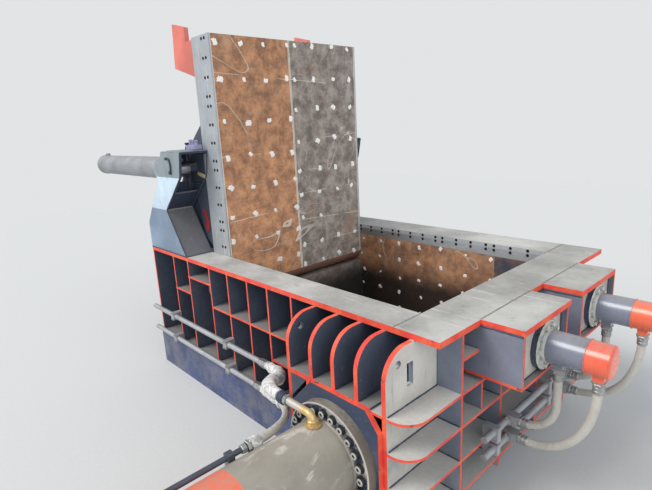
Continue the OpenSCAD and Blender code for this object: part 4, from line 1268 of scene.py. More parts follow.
def add_main_cylinder_details():
    """Gland ring on the flange, end cap with its screws, and the rings of the port's elbow."""
    turn = facing("y", -1)
    bm = bmesh.new()
    gland = [(MAIN_R, 0.0), (MAIN_R + 0.010, 0.0), (MAIN_R + 0.010, 0.010), (MAIN_R + 0.003, 0.016),
             (MAIN_R, 0.016)]
    lathe(bm, gland, (MAIN_X, FLANGE_Y, MAIN_Z), turn, 64)
    cap = [(MAIN_R, -0.060), (MAIN_R + 0.0025, -0.058), (MAIN_R + 0.0025, -0.012), (MAIN_R, -0.010)]
    lathe(bm, cap, (MAIN_X, CAP_Y, MAIN_Z), turn, 64)
    new_piece("main_cylinder_rings", bm, "main_cylinder_paint")
    fasteners("rear_cap_screws", ring_points(CAP_Y, CAP_SCREW_RING, 12), "socket_head", 0.014, 0.006,
              "y", -1, "black_bolt")
    bm = bmesh.new()
    boss_z = MAIN_Z + MAIN_R
    foot = [(0.040, 0.0), (0.045, 0.001), (0.046, 0.003), (0.046, 0.010), (0.040, 0.011)]
    lathe(bm, foot, (ELBOW_X, PORT_Y, boss_z), UPWARD, 32)
    collar = [(0.021, 0.0), (0.030, 0.001), (0.030, 0.010), (0.026, 0.014), (0.021, 0.015)]
    lathe(bm, collar, (ELBOW_X, PORT_Y, boss_z + 0.0215), UPWARD, 32)
    new_piece("elbow_rings", bm, "brass_ring")


# Bolts of the blades, and plug welds


def strip_rows():
    """Where the blade bolts stand along a strip: four pairs to a blade, a closer gap at each joint."""
    return [blade * BLADE_PITCH + pair * PAIR_PITCH for blade in range(4) for pair in range(4)]


def add_strip_bolts():
    """Flush bolts in pairs along the lid's edge strips and the blades on both walls."""
    radius = bpy.context.scene.baler_sizes.strip_bolt
    heights = [LID_BOLT_Z - at for at in strip_rows() if LID_BOLT_Z - at > 0.99]
    for name, side in SIDES:
        points = [(x, side * STRIP_Y, z) for z in heights for x in LID_BOLT_XS]
        fasteners(f"lid_strip_bolts_{name}", points, "flush_bolt", radius, 0.003, "y", side,
                  "black_bolt", "lid")
    upper, lower = BLADE_BOLT_ZS
    places = [BLADE_BOLT_X - at for at in strip_rows()]
    far = [(x, LINER_Y, z) for x in places if x > -1.0 for z in (upper, lower)]
    far += [(x, LINER_Y, lower) for x in places if -1.29 < x <= -1.0]
    fasteners("far_strip_bolts", far, "flush_bolt", radius, 0.004, "y", -1, "black_bolt")
    near = [(x, -LINER_Y, z) for x in places if x > 0.57 for z in (upper, lower)]
    fasteners("near_strip_bolts", near, "flush_bolt", radius, 0.004, "y", 1, "black_bolt")


def add_plug_welds():
    """Chalk-white plug welds: proud on the lid's liners, almost flush where the rams slide by."""
    size = bpy.context.scene.baler_sizes.plug_weld
    rng = random.Random(4)

    def about(value, loose):
        return value + rng.uniform(-loose, loose)

    spots = []
    for rows, columns in ((LID_ROWS_NEAR, LID_COLUMNS_NEAR), (LID_ROWS_FAR, LID_COLUMNS_FAR)):
        spots += [(LID_FACE, about(y, 0.016), about(z, 0.016)) for z in rows for y in columns]
    kept = [spot for spot in spots if rng.random() > 0.06 or spot[2] > 2.2]
    fasteners("lid_plug_welds", kept, "weld_blob", size, 0.005, "x", 1, "chalk_weld", "lid",
              (0.7, 1.15), roll=5.0)
    for name, side, seed in (("far", 1, 9), ("near", -1, 11)):
        spots = [(about(x, 0.02), side * LINER_Y, about(z, 0.015))
                 for x in WALL_COLUMNS for z in WALL_ROWS]
        fasteners(f"{name}_plug_welds", spots, "weld_blob", size * 0.8, 0.0013, "y", -side,
                  "chalk_weld", spread=(0.6, 1.15), seed=seed)
    spots = [(LINER_X, y, z) for y in END_COLUMNS for z in END_ROWS]
    fasteners("end_plug_welds", spots, "weld_blob", size * 0.8, 0.0013, "x", -1, "chalk_weld",
              spread=(0.7, 1.2), seed=13)


# Weld beads


def beside(place, thickness):
    """Both faces of a plate that is centred on a place, a weld's gap off it."""
    half = thickness / 2 + WELD_GAP
    return (place - half, place + half)


def near_wall_lines():
    """Fillets of the ribs, the stringers and the deep ribs on the near wall."""
    lines = []
    for x in (LEFT_RIB, *RIBS):
        for at in beside(x, RIB_T):
            if at > LEFT_X:
                lines.append(((at, -WALL_Y, SILL_TOP), (at, -WALL_Y, TOP_UNDER)))
                lines.append(((at, -WALL_Y, TOP_UNDER), (at, NEAR_Y + 0.006, TOP_UNDER)))
                lines.append(((at, -WALL_Y, SILL_TOP), (at, NEAR_Y + 0.006, SILL_TOP)))
    for first, z in ((RIBS[2], STRINGER_1), (RIBS[5], STRINGER_2)):
        for at in beside(z, RIB_T):
            lines.append(((first, -WALL_Y, at), (STRINGER_END, -WALL_Y, at)))
    for x in DEEP_RIBS:
        for at in beside(x, DEEP_RIB_T):
            lines.append(((at, -WALL_Y, BRIDGE_Z), (at, -WALL_Y, TOP_UNDER)))
            lines.append(((at, -WALL_Y, BRIDGE_Z), (at, DEEP_Y + 0.012, BRIDGE_Z)))
            lines.append(((at, NEAR_Y + 0.002, TOP_UNDER), (at, -WALL_Y, TOP_UNDER)))
    return lines


def far_wall_lines():
    """Fillets of the ribs on the far wall, also of those that end over the gate."""
    lines = []
    for x in (LEFT_RIB, *RIBS[:5]):
        for at in beside(x, RIB_T):
            if at > LEFT_X:
                lines.append(((at, WALL_Y, SILL_TOP), (at, WALL_Y, TOP_UNDER)))
                lines.append(((at, WALL_Y, TOP_UNDER), (at, FAR_Y - 0.006, TOP_UNDER)))
    for x in (*RIBS[5:], FAR_LAST_RIB):
        for at in beside(x, RIB_T):
            lines.append(((at, WALL_Y, OVER_GATE_Z), (at, WALL_Y, TOP_UNDER)))
    for x in DEEP_RIBS[1:]:
        for at in beside(x, DEEP_RIB_T):
            lines.append(((at, WALL_Y, OVER_GATE_Z), (at, WALL_Y, TOP_UNDER)))
            lines.append(((at, WALL_Y, TOP_UNDER), (at, FAR_Y - 0.006, TOP_UNDER)))
    return lines


def end_wall_lines():
    """Fillets of the upright plates, the shelves and the end rib on the end wall."""
    lines = []
    for y in END_PLATES:
        for at in (y - RIB_T - WELD_GAP, y + WELD_GAP):
            for above, below in zip(SHELVES, SHELVES[1:]):
                foot = below + RIB_T
                lines.append(((WALL_X, at, foot), (WALL_X, at, above)))
                lines.append(((WALL_X, at, foot), (END_X - 0.006, at, foot)))
    for under in SHELVES:
        for at in (under, under + RIB_T):
            lines.append(((WALL_X, -WALL_Y, at), (WALL_X, LINER_Y, at)))
            for x in beside(END_RIB_X, DEEP_RIB_T):
                lines.append(((x, -WALL_Y, at), (x, DEEP_Y + 0.012, at)))
    for x in beside(END_RIB_X, DEEP_RIB_T):
        lines.append(((x, NEAR_Y, TOP_UNDER), (x, -WALL_Y, TOP_UNDER)))
    return lines


def lock_box_lines():
    """Fillets round each lock box's front plate, and under the tongue that covers the box."""
    lines = []
    for low_y, high_y in LOCK_BOXES:
        inner = (low_y + RIB_T, high_y - RIB_T)
        for y in (inner[0] + WELD_GAP, inner[1] - WELD_GAP):
            lines.append(((LOCK_FACE, y, LOCK_WELD_Z), (LOCK_FACE, y, TOP_UNDER)))
        for y in (low_y - WELD_GAP, high_y + WELD_GAP):
            lines.append(((END_X, y, TOP_UNDER), (LOCK_NOSE - 0.006, y, TOP_UNDER)))
        for z in (LOCK_WELD_Z, TOP_UNDER):
            lines.append(((LOCK_FACE, inner[0], z), (LOCK_FACE, inner[1], z)))
    return lines


def top_seam_lines():
    """Ground-down seams between the top plates."""
    near, far = NEAR_Y + 0.004, FAR_Y - 0.004
    lines = [
        ((LINER_X, near, TOP_Z), (LINER_X, -LINER_Y, TOP_Z)),
        ((LINER_X, LINER_Y, TOP_Z), (LINER_X, far, TOP_Z)),
    ]
    for y in (-LINER_Y, LINER_Y):
        lines.append(((LEFT_X + 0.004, y, TOP_Z), (LEFT_TOP_X - 0.002, y, TOP_Z)))
    for low_y, high_y in TONGUES:
        lines.append(((END_X, low_y + 0.003, TOP_Z), (END_X, high_y - 0.004, TOP_Z)))
    return lines


def tower_lines(side):
    """Fillets round a tower's foot, and along its cranked front."""
    outer, inner = side * (-NEAR_Y + WELD_GAP), side * LINER_Y
    foot_z = TOP_Z + 0.003
    toe_x = TOWER_TOE_X + WELD_GAP
    lines = [((LEFT_X + 0.005, y, foot_z), (TOWER_TOE_X - 0.005, y, foot_z)) for y in (outer, inner)]
    lines.append(((toe_x, outer, foot_z), (toe_x, inner, foot_z)))
    for y in (outer, inner):
        lines.append([(x, y, z) for x, z in TOWER_FRONT])
    return lines


def lid_ear_lines(side):
    """Fillets of one ear's two plates on the lid's back."""
    low_y, high_y = sorted((side * LID_EDGE, side * EAR_IN_Y))
    low_plate = (low_y - WELD_GAP, low_y + EAR_T + WELD_GAP)
    high_plate = (high_y - EAR_T - WELD_GAP, high_y + WELD_GAP)
    back = LID_BACK - WELD_GAP
    return [((back, y, 1.692), (back, y, 2.098)) for y in (*low_plate, *high_plate)]


def lug_lines():
    """Fillets of the two lifting lugs on the lid's back."""
    back = LID_BACK - WELD_GAP
    edges = [y for low_y, high_y in LUGS for y in (low_y - WELD_GAP, high_y + WELD_GAP)]
    return [((back, y, 2.692), (back, y, 2.983)) for y in edges]


def add_wall_welds():
    """Weld beads of the near and far walls."""
    bead = bpy.context.scene.baler_sizes.weld_bead
    welds("near_wall_welds", near_wall_lines(), bead, "weld_slate")
    welds("far_wall_welds", far_wall_lines(), bead, "weld_slate")


def add_end_welds():
    """Weld beads of the end wall and the lock boxes."""
    bead = bpy.context.scene.baler_sizes.weld_bead
    welds("end_welds", end_wall_lines(), bead, "weld_slate")
    welds("lock_box_welds", lock_box_lines(), bead, "weld_slate")


def add_top_welds():
    """Seams of the top plates."""
    welds("top_seams", top_seam_lines(), bpy.context.scene.baler_sizes.weld_bead * 0.8, "weld_grey")


def add_tower_welds():
    """Weld beads of the towers, the lid's ears and its lugs."""
    bead = bpy.context.scene.baler_sizes.weld_bead
    for name, side in SIDES:
        welds(f"tower_{name}_welds", tower_lines(side), bead, "weld_slate")
        welds(f"lid_ear_{name}_welds", lid_ear_lines(side), bead, "weld_slate", "lid")
    welds("lug_welds", lug_lines(), bead, "weld_red", "lid")


# Towers and lid


def tower_cover(name, side):
    """Stepped plate on a tower's head."""
    low_y, high_y = sorted((side * 0.828, side * 1.072))
    bm = bmesh.new()
    box_slab(bm, (-1.548, low_y, TOWER_TOP), (-1.194, high_y, TOWER_TOP + 0.006), 0.002)
    box_slab(bm, (-1.500, low_y + 0.03, TOWER_TOP + 0.005), (-1.250, high_y - 0.03, COVER_TOP), 0.002)
    new_piece(f"tower_{name}_cover", bm, "cover_green")


def tower_valves(name, side):
    """Valve block with its three unions, and the blue valve behind it."""
    mid_y = side * 0.895
    low_z = COVER_TOP - 0.001
    bm = bmesh.new()
    box_slab(bm, (-1.352, mid_y - 0.036, low_z), (-1.205, mid_y + 0.036, low_z + 0.039), 0.003)
    for x, reach in ((-1.325, 0.044), (-1.278, 0.034), (-1.232, 0.040)):
        union = [(0.019, 0.0), (0.019, 0.012), (0.013, 0.014), (0.013, reach - 0.012),
                 (0.017, reach - 0.010), (0.017, reach), (0.0, reach + 0.002)]
        lathe(bm, union, (x, mid_y, low_z + 0.038), UPWARD, 14)
    new_piece(f"tower_{name}_valve_block", bm, "lavender_fitting")
    bm = bmesh.new()
    body = [(0.024, 0.0), (0.024, 0.020), (0.018, 0.023), (0.018, 0.044), (0.023, 0.046),
            (0.023, 0.058), (0.0, 0.060)]
    lathe(bm, body, (-1.386, mid_y, low_z), UPWARD, 16)
    lathe(bm, hex_profile(0.015, 0.030), (-1.368, mid_y, low_z + 0.019), facing("x"), 6)
    new_piece(f"tower_{name}_valve", bm, "blue_fitting")


def tower_handle(name, side):
    """Bent handle on a tower's outer cheek, with the feet that hold it."""
    line = [(x, side * 1.083, z) for x, z in HANDLE_LINE]
    mesh, _ = tube_mesh(f"tower_{name}_handle", line, 0.0065, 10)
    link_mesh(f"tower_{name}_handle", mesh, "dark_trim")
    bm = bmesh.new()
    for x, z, radius in HANDLE_FEET:
        lathe(bm, hex_profile(radius, 0.018), (x, -side * NEAR_Y, z), facing("y", side), 6)
    new_piece(f"tower_{name}_handle_feet", bm, "dark_trim")


def tower_shade_sheet(name, side):
    """Dark sheet in a tower's mouth, painted shade, open where the cylinder swings."""
    bm = bmesh.new()
    low_y, high_y = sorted((side * SHADE_SHEET_IN_Y, side * 1.047))
    for low_z, high_z in ((SHADE_SHEET_Z0, 1.832), (2.034, SHADE_SHEET_Z1)):
        box_slab(bm, (-1.519, low_y, low_z), (-1.515, high_y, high_z), 0.0015)
    low_y, high_y = sorted((side * SHADE_SHEET_IN_Y, side * (SHADE_SHEET_IN_Y + 0.032)))
    box_slab(bm, (-1.520, low_y, SHADE_SHEET_Z0), (-1.516, high_y, SHADE_SHEET_Z1), 0.0015)
    new_piece(f"tower_{name}_shield", bm, "dark_trim")


def add_tower_details():
    """Plate on each tower's head with its valves, the handle, and a dark sheet in the mouth as painted
    shade.
    """
    for name, side in SIDES:
        tower_cover(name, side)
        tower_valves(name, side)
        tower_handle(name, side)
        tower_shade_sheet(name, side)


def upright_slab(name, outline, thickness, y, ease, finish_name):
    """A plate of the lid whose outline is given in x and z, standing from y towards +y."""
    place = Matrix.Translation((0.0, y + thickness, 0.0)) @ Matrix.Rotation(math.pi / 2, 4, "X")
    bm = bmesh.new()
    slab(bm, outline, thickness, place, ease)
    new_piece(name, bm, finish_name, "lid")


def add_lid_details():
    """Dark plates that carry on the ears' line behind the lid, painted as shade, and what hangs on the
    near ear.
    """
    upright_slab("lid_guard_near", SHADE_PLATE, 0.006, -0.799, 0.0015, "dark_trim")
    upright_slab("lid_guard_far", SHADE_PLATE, 0.006, 0.793, 0.0015, "dark_trim")
    upright_slab("near_ear_pad", EAR_PAD, 0.006, -0.812, 0.002, "cream_block")
    upright_slab("near_ear_patch", EAR_PATCH, 0.004, -0.811, 0.001, "red_cloth")


def add_hinge_keepers():
    """Round keeper with its screw on each hinge pin's end."""
    keeper = [(0.052, 0.0), (0.055, 0.002), (0.055, 0.007), (0.046, 0.009), (0.0, 0.009)]
    for name, side in SIDES:
        bm = bmesh.new()
        turn = facing("y", side)
        lathe(bm, keeper, (HINGE_X, side * HINGE_PIN_Y, HINGE_Z), turn, 32)
        lathe(bm, hex_profile(0.013, 0.010), (HINGE_X, side * (HINGE_PIN_Y + 0.008), HINGE_Z), turn, 6)
        new_piece(f"hinge_{name}_keeper", bm, "zinc")


# Fittings of the cylinders, the pipes and the gate


def lock_fittings(name, y):
    """Rings and end cap of a lock cylinder, and the adaptors under its ports."""
    bm = bmesh.new()
    for x, length in ((LOCK_FACE + 0.031, 0.022), (LOCK_FACE + 0.243, 0.006)):
        ring = [(LOCK_R, 0.0), (LOCK_R + 0.006, 0.001), (LOCK_R + 0.006, length * 0.6),
                (LOCK_R + 0.001, length), (LOCK_R, length)]
        lathe(bm, ring, (x, y, LOCK_Z), facing("x"), 48)
    cap = [(LOCK_R - 0.0015, -0.004), (LOCK_R - 0.004, 0.003), (LOCK_R - 0.012, 0.008),
           (LOCK_R - 0.030, 0.0095), (0.0, 0.010)]
    lathe(bm, cap, (LOCK_BACK, y, LOCK_Z), facing("x"), 48)
    new_piece(f"lock_{name}_rings", bm, "lock_cylinder_paint")
    bm = bmesh.new()
    half = 0.031
    for x in LOCK_PORTS:
        box_slab(bm, (x - half, y - half, LOCK_PORT_Z + 0.003), (x + half, y + half, LOCK_PORT_Z + 0.012),
                 0.002)
    new_piece(f"lock_{name}_adaptors", bm, "zinc")


def lid_cylinder_fittings(name, side):
    """Gland and end rings of a lid cylinder, and the nuts on its ports."""
    body = f"lid_cylinder_{name}"
    y = side * LID_CYLINDER_Y
    bm = bmesh.new()
    for x, length in ((-1.585, 0.030), (-3.215, 0.050)):
        ring = [(LID_TUBE_R, 0.0), (LID_TUBE_R + 0.004, 0.003), (LID_TUBE_R + 0.004, length - 0.003),
                (LID_TUBE_R, length)]
        lathe(bm, ring, (x, y, LID_CYLINDER_Z), facing("x", -1), 48)
    new_piece(f"{body}_rings", bm, "lid_cylinder_paint", body)
    bm = bmesh.new()
    for x in (-1.720, -3.170):
        lathe(bm, [(0.026, 0.0), (0.026, 0.016), (0.019, 0.018)], (x, y, LID_CYLINDER_Z + 0.094),
              UPWARD, 20)
        lathe(bm, hex_profile(0.019, 0.014), (x, y, LID_CYLINDER_Z + 0.110), UPWARD, 6)
    new_piece(f"{body}_ports", bm, "zinc", body)


def side_cylinder_ports():
    """Nuts on the side ram cylinder's ports."""
    bm = bmesh.new()
    for x in (-1.600, -3.120):
        lathe(bm, [(0.034, 0.0), (0.034, 0.020), (0.026, 0.022)], (x, 0.0, 0.640), UPWARD, 24)
        lathe(bm, hex_profile(0.026, 0.018), (x, 0.0, 0.660), UPWARD, 6)
    new_piece("side_cylinder_ports", bm, "zinc")


def add_cylinder_fittings():
    """Gland rings, caps and adaptors of the lock, lid and side cylinders."""
    for (name, _), y in zip(SIDES, LOCK_YS):
        lock_fittings(name, y)
    for name, side in SIDES:
        lid_cylinder_fittings(name, side)
    side_cylinder_ports()


def add_pipe_fittings():
    """Union nuts at the pipe ends and beside the clamps, and the clamps' bolts."""
    bm = bmesh.new()
    for end_x, z in ((UPPER_PIPE_END, UPPER_PIPE_Z), (LOWER_PIPE_END, LOWER_PIPE_Z)):
        lathe(bm, hex_profile(0.032, 0.034), (end_x - 0.036, PIPE_Y, z), facing("x"), 6)
        lathe(bm, hex_profile(0.028, 0.020), (end_x - 0.060, PIPE_Y, z), facing("x"), 6)
    for z in TEE_ZS:
        for y in LOCK_YS:
            for sign in (1, -1):
                lathe(bm, hex_profile(0.029, 0.026), (END_PIPE_X, y - sign * 0.056, z),
                      facing("y", sign), 6)
            lathe(bm, hex_profile(0.029, 0.012), (TEE_FACE - 0.013, y, z), facing("x"), 6)
    lathe(bm, hex_profile(0.026, 0.030), (REAR_PIPE_X, REAR_HOSE_Y - 0.032, REAR_PIPE_Z), facing("y"), 6)
    lathe(bm, hex_profile(0.022, 0.022), (REAR_PIPE_X, -2.440, REAR_PIPE_Z), facing("y"), 6)
    new_piece("pipe_unions", bm, "zinc")
    points = [(rib + dx, CLAMP_Y, z + dz)
              for rib in CLAMPED_RIBS for z in (UPPER_PIPE_Z, LOWER_PIPE_Z)
              for dx in (-0.013, 0.013) for dz in (-0.027, 0.027)]
    fasteners("pipe_clamp_bolts", points, "hex_head", 0.008, 0.007, "y", -1, "zinc")


def add_gate_details():
    """Bolted wear strips on the gate's rails, and the nuts on the gate cylinder's ports."""
    bm = bmesh.new()
    for low_z, high_z in ((0.137, 0.162), (0.822, 0.847)):
        box_slab(bm, (-0.035, RAIL_Y + 0.0005, low_z), (1.047, RAIL_Y + 0.0045, high_z), 0.001)
    new_piece("gate_rail_strips", bm, "strip_steel")
    points = [(-0.01 + 0.115 * i, RAIL_Y + 0.0045, z) for i in range(10) for z in (0.1495, 0.8345)]
    fasteners("gate_rail_bolts", points, "hex_head", 0.011, 0.009, "y", 1, "zinc")
    bm = bmesh.new()
    for x in (-0.150, -0.700):
        lathe(bm, [(0.020, 0.0), (0.020, 0.012), (0.014, 0.014)], (x, GATE_AXIS_Y, 0.534), UPWARD, 16)
        lathe(bm, hex_profile(0.014, 0.012), (x, GATE_AXIS_Y, 0.546), UPWARD, 6)
    new_piece("gate_cylinder_ports", bm, "zinc")


# Stage


CAMERA_AT = (2.522625, -2.913750, 2.250000)
CAMERA_RIGHT = (0.68277506, 0.72889251, -0.05033814)
CAMERA_DOWN = (0.14185068, -0.19983102, -0.9695081)
CAMERA_AHEAD = (-0.71672631, 0.65481545, -0.23983353)
CAMERA_LENS = 26.606
LIT_PLACE = (0.0, 0.0, 0.8)
FLOOR_HALF = 14.0
FLOOR_STEPS = 14


def stage_world():
    """Pale sky that lights the machine, and a plain backdrop that the camera sees."""
    world = bpy.data.worlds.new("studio")
    bpy.context.scene.world = world
    world.use_nodes = True
    nodes, links = world.node_tree.nodes, world.node_tree.links
    nodes.clear()
    sky = nodes.new("ShaderNodeBackground")
    sky.inputs["Color"].default_value = (0.90, 0.95, 1.0, 1.0)
    sky.inputs["Strength"].default_value = bpy.context.scene.baler_sizes.sky_light
    seen = nodes.new("ShaderNodeBackground")
    seen.inputs["Color"].default_value = (*tint("backdrop"), 1.0)
    mixed = nodes.new("ShaderNodeMixShader")
    rays = nodes.new("ShaderNodeLightPath")
    links.new(rays.outputs["Is Camera Ray"], mixed.inputs["Fac"])
    links.new(sky.outputs[0], mixed.inputs[1])
    links.new(seen.outputs[0], mixed.inputs[2])
    out = nodes.new("ShaderNodeOutputWorld")
    links.new(mixed.outputs[0], out.inputs["Surface"])


def make_camera():
    """The camera that the photo was solved to."""
    data = bpy.data.cameras.new("camera")
    data.sensor_fit = "HORIZONTAL"
    data.sensor_width = 36.0
    data.lens = CAMERA_LENS
    data.clip_end = 100.0
    camera = bpy.data.objects.new("camera", data)
    right, down, ahead = Vector(CAMERA_RIGHT), Vector(CAMERA_DOWN), Vector(CAMERA_AHEAD)
    turn = Matrix((right, -down, -ahead)).transposed().to_4x4()
    camera.matrix_world = Matrix.Translation(CAMERA_AT) @ turn
    bpy.context.scene.collection.objects.link(camera)
    bpy.context.scene.camera = camera


def add_lamp(name, place, energy, soft, tone):
    """A wide distant lamp that looks at the middle of the chamber."""
    data = bpy.data.lights.new(name, "SUN")
    data.energy = energy
    data.angle = math.radians(soft)
    data.color = tone
    lamp = bpy.data.objects.new(name, data)
    lamp.location = place
    lamp.rotation_euler = (Vector(LIT_PLACE) - Vector(place)).to_track_quat("-Z", "Y").to_euler()
    bpy.context.scene.collection.objects.link(lamp)


def lay_floor():
    """Concrete floor, as a grid of large squares just under the machine."""
    bm = bmesh.new()
    places = [-FLOOR_HALF + 2 * FLOOR_HALF * i / FLOOR_STEPS for i in range(FLOOR_STEPS + 1)]
    grid = [[bm.verts.new((x, y, -0.001)) for y in places] for x in places]
    for i in range(FLOOR_STEPS):
        for j in range(FLOOR_STEPS):
            bm.faces.new((grid[i][j], grid[i + 1][j], grid[i + 1][j + 1], grid[i][j + 1]))
    mesh = bpy.data.meshes.new("floor")
    bm.to_mesh(mesh)
    bm.free()
    mesh.materials.append(finish("floor_tone"))
    floor = bpy.data.objects.new("floor", mesh)
    bpy.context.scene.collection.objects.link(floor)


def set_stage():
    """Camera, sky, key and fill lamps, and floor."""
    key_light = bpy.context.scene.baler_sizes.key_light
    make_camera()
    stage_world()
    add_lamp("key", (-3.0, -6.0, 8.0), key_light, 30, (1.0, 0.985, 0.96))
    add_lamp("fill", (8.0, -2.0, 5.0), key_light * 0.45, 60, (0.95, 0.98, 1.0))
    lay_floor()


# Settings that a user can change in the sidebar


def size(label, description, default):
    """A length."""
    return bpy.props.FloatProperty(
        name=label, description=description, default=default, min=0.0, unit="LENGTH", precision=4)


def level(label, description, default):
    """A lamp's level."""
    return bpy.props.FloatProperty(name=label, description=description, default=default, min=0.0)


def colour(label, description, *rgb):
    """A colour, given as the eye sees it, 0 to 255."""
    return bpy.props.FloatVectorProperty(
        name=label, description=description, default=srgb(*rgb), size=3, min=0.0, max=1.0,
        subtype="COLOR")


class BALER_PG_sizes(bpy.types.PropertyGroup):
    """Sizes of the fastenings and the lamps' levels"""

    flange_bolt: size("Flange bolt", "Radius of the main flange's bolt heads", 0.0205)
    strip_bolt: size("Blade bolt", "Radius of the bolts in the blades", 0.0115)
    plug_weld: size("Plug weld", "Radius of the plug welds on the liners", 0.0260)
    weld_bead: size("Weld bead", "Radius of the fillet welds", 0.0055)
    key_light: level("Key lamp", "Energy of the key lamp", 2.1)
    sky_light: level("Sky", "Strength of the sky's light", 0.62)


class BALER_PG_colours(bpy.types.PropertyGroup):
    """Paints, metals and dirt"""

    paint: colour("Slate", "Main paint", 74, 82, 98)
    # Slate painted lighter, as lit, for the end faces; dust lies over it as well
    paint_lit: colour("Slate, dusty", "Paint on the end faces", 122, 130, 146)
    # Painted sky reflection on the sills' dark grey paint
    sill_sky_reflection: colour("Blue", "Paint of the sills", 62, 78, 122)
    mount_slate: colour("Mount plate", "Paint of the mount plate", 62, 74, 98)
    box_slate: colour("Lock box", "Paint of the lock boxes", 128, 132, 148)
    # Slate painted lighter, as sunlit, on the towers
    tower_sunlit_blue: colour("Tower", "Lower cheek of the towers", 132, 150, 172)
    # Painted sunlight and sky reflection on the towers' upper outer cheeks
    tower_sunlit_pale: colour("Tower, pale", "Upper cheek of the towers", 206, 226, 242)
    cover_green: colour("Grey-green", "Heads of the towers", 138, 150, 154)
    # Painted shade on the towers' upper fronts, in their mouths and behind the lid's ears; elsewhere it
    # darkens flange faces, a pipe and small trim
    shade: colour("Dark slate", "Tower fronts and flange rims", 50, 60, 82)
    edge_red: colour("Edge red", "Plate edges", 232, 70, 58)
    edge_orange: colour("Edge orange", "Faded plate edges", 244, 112, 76)
    dust: colour("Dust", "Dust that lies on the steel", 156, 150, 141)
    pale_dust: colour("Pale dust", "Thick dust and rubbed paint", 206, 201, 192)
    dirt: colour("Dirt", "Grease and soil", 66, 56, 48)
    stain: colour("Stain", "Brown stains", 112, 102, 90)
    # Near-black that darkens the chamber towards its bottom
    dark_bottom: colour("Soot", "Bottom of the chamber", 28, 25, 23)
    rust: colour("Rust", "Rust spots", 130, 78, 48)
    bare_steel: colour("Bare steel", "Knocked edges", 168, 168, 168)
    top_dark: colour("Top, dark", "Stained top plates", 150, 148, 144)
    top_light: colour("Top, light", "Walked-on top plates", 196, 194, 190)
    scale_dark: colour("Scale, dark", "Dark mill scale", 118, 106, 99)
    scale_light: colour("Scale, light", "Light mill scale", 178, 166, 156)
    rust_dark: colour("Rust, dark", "Dark rust on the liners", 142, 102, 80)
    rust_brown: colour("Rust, brown", "Brown rust on the liners", 152, 122, 102)
    rust_bright: colour("Rust, bright", "Bright rust on the liners", 212, 156, 114)
    chalk: colour("Chalk", "Chalk and bright scratches", 226, 218, 204)
    strip: colour("Blade steel", "Bolted blades and strips", 182, 188, 194)
    flange_grey: colour("Flange face", "Flange faces of the lock cylinders", 202, 202, 194)
    primer: colour("Primer", "Primer of the main cylinder", 154, 148, 136)
    cylinder_grey: colour("Cylinder", "Paint of the lock cylinders", 126, 132, 148)
    pipe: colour("Pipe", "Steel pipes", 186, 188, 192)
    brass: colour("Brass", "Brass elbow and rings", 220, 190, 134)
    sleeve: colour("Sleeve", "Cloth on the hoses", 232, 228, 218)
    rag: colour("Lagging", "Lagging on the main hoses", 240, 238, 236)
    lug_pink: colour("Lid lugs", "Bleached red of the lid lugs", 234, 128, 114)
    # Dust and painted light on the towers' lower fronts
    front_dust_and_light: colour("Tower front", "Dusty lower front of the towers", 94, 96, 104)
    pale_bolt: colour("Bolt face", "Rubbed faces of the flange bolts", 184, 184, 178)
    backdrop: colour("Backdrop", "Backdrop behind the floor", 226, 228, 230)


# Operators, one for each group of pieces and one for the stage


class BALER_OT_stage(bpy.types.Operator):
    """Set the camera, the lamps and the floor"""

    bl_idname = "baler.stage"
    bl_label = "Stage"

    def execute(self, context):
        set_stage()
        return {"FINISHED"}


class BALER_OT_paint(bpy.types.Operator):
    """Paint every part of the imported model"""

    bl_idname = "baler.paint"
    bl_label = "Paint"

    def execute(self, context):
        paint_nodes()
        return {"FINISHED"}


class BALER_OT_hoses(bpy.types.Operator):
    """Lay the sleeved hydraulic hoses with their lagging"""

    bl_idname = "baler.hoses"
    bl_label = "Hoses"

    def execute(self, context):
        add_hoses()
        return {"FINISHED"}


class BALER_OT_flange_bolts(bpy.types.Operator):
    """Set the main flange's bolts"""

    bl_idname = "baler.flange_bolts"
    bl_label = "Flange bolts"

    def execute(self, context):
        add_flange_bolts()
        return {"FINISHED"}


class BALER_OT_main_cylinder(bpy.types.Operator):
    """Add the main cylinder's rings and cap screws"""

    bl_idname = "baler.main_cylinder"
    bl_label = "Main cylinder"

    def execute(self, context):
        add_main_cylinder_details()
        return {"FINISHED"}


class BALER_OT_strip_bolts(bpy.types.Operator):
    """Set the bolts of the blades and edge strips"""

    bl_idname = "baler.strip_bolts"
    bl_label = "Blade bolts"

    def execute(self, context):
        add_strip_bolts()
        return {"FINISHED"}


class BALER_OT_plug_welds(bpy.types.Operator):
    """Set the plug welds of the liners"""

    bl_idname = "baler.plug_welds"
    bl_label = "Plug welds"

    def execute(self, context):
        add_plug_welds()
        return {"FINISHED"}


class BALER_OT_wall_welds(bpy.types.Operator):
    """Run the welds of the side walls"""

    bl_idname = "baler.wall_welds"
    bl_label = "Wall welds"

    def execute(self, context):
        add_wall_welds()
        return {"FINISHED"}


class BALER_OT_end_welds(bpy.types.Operator):
    """Run the welds of the end wall and lock boxes"""

    bl_idname = "baler.end_welds"
    bl_label = "End welds"

    def execute(self, context):
        add_end_welds()
        return {"FINISHED"}


class BALER_OT_top_welds(bpy.types.Operator):
    """Run the seams between the top plates"""

    bl_idname = "baler.top_welds"
    bl_label = "Top seams"

    def execute(self, context):
        add_top_welds()
        return {"FINISHED"}


class BALER_OT_tower_welds(bpy.types.Operator):
    """Run the welds of the towers and the lid"""

    bl_idname = "baler.tower_welds"
    bl_label = "Tower welds"

    def execute(self, context):
        add_tower_welds()
        return {"FINISHED"}


class BALER_OT_towers(bpy.types.Operator):
    """Add the towers' covers, valves and handles"""

    bl_idname = "baler.towers"
    bl_label = "Tower details"

    def execute(self, context):
        add_tower_details()
        return {"FINISHED"}


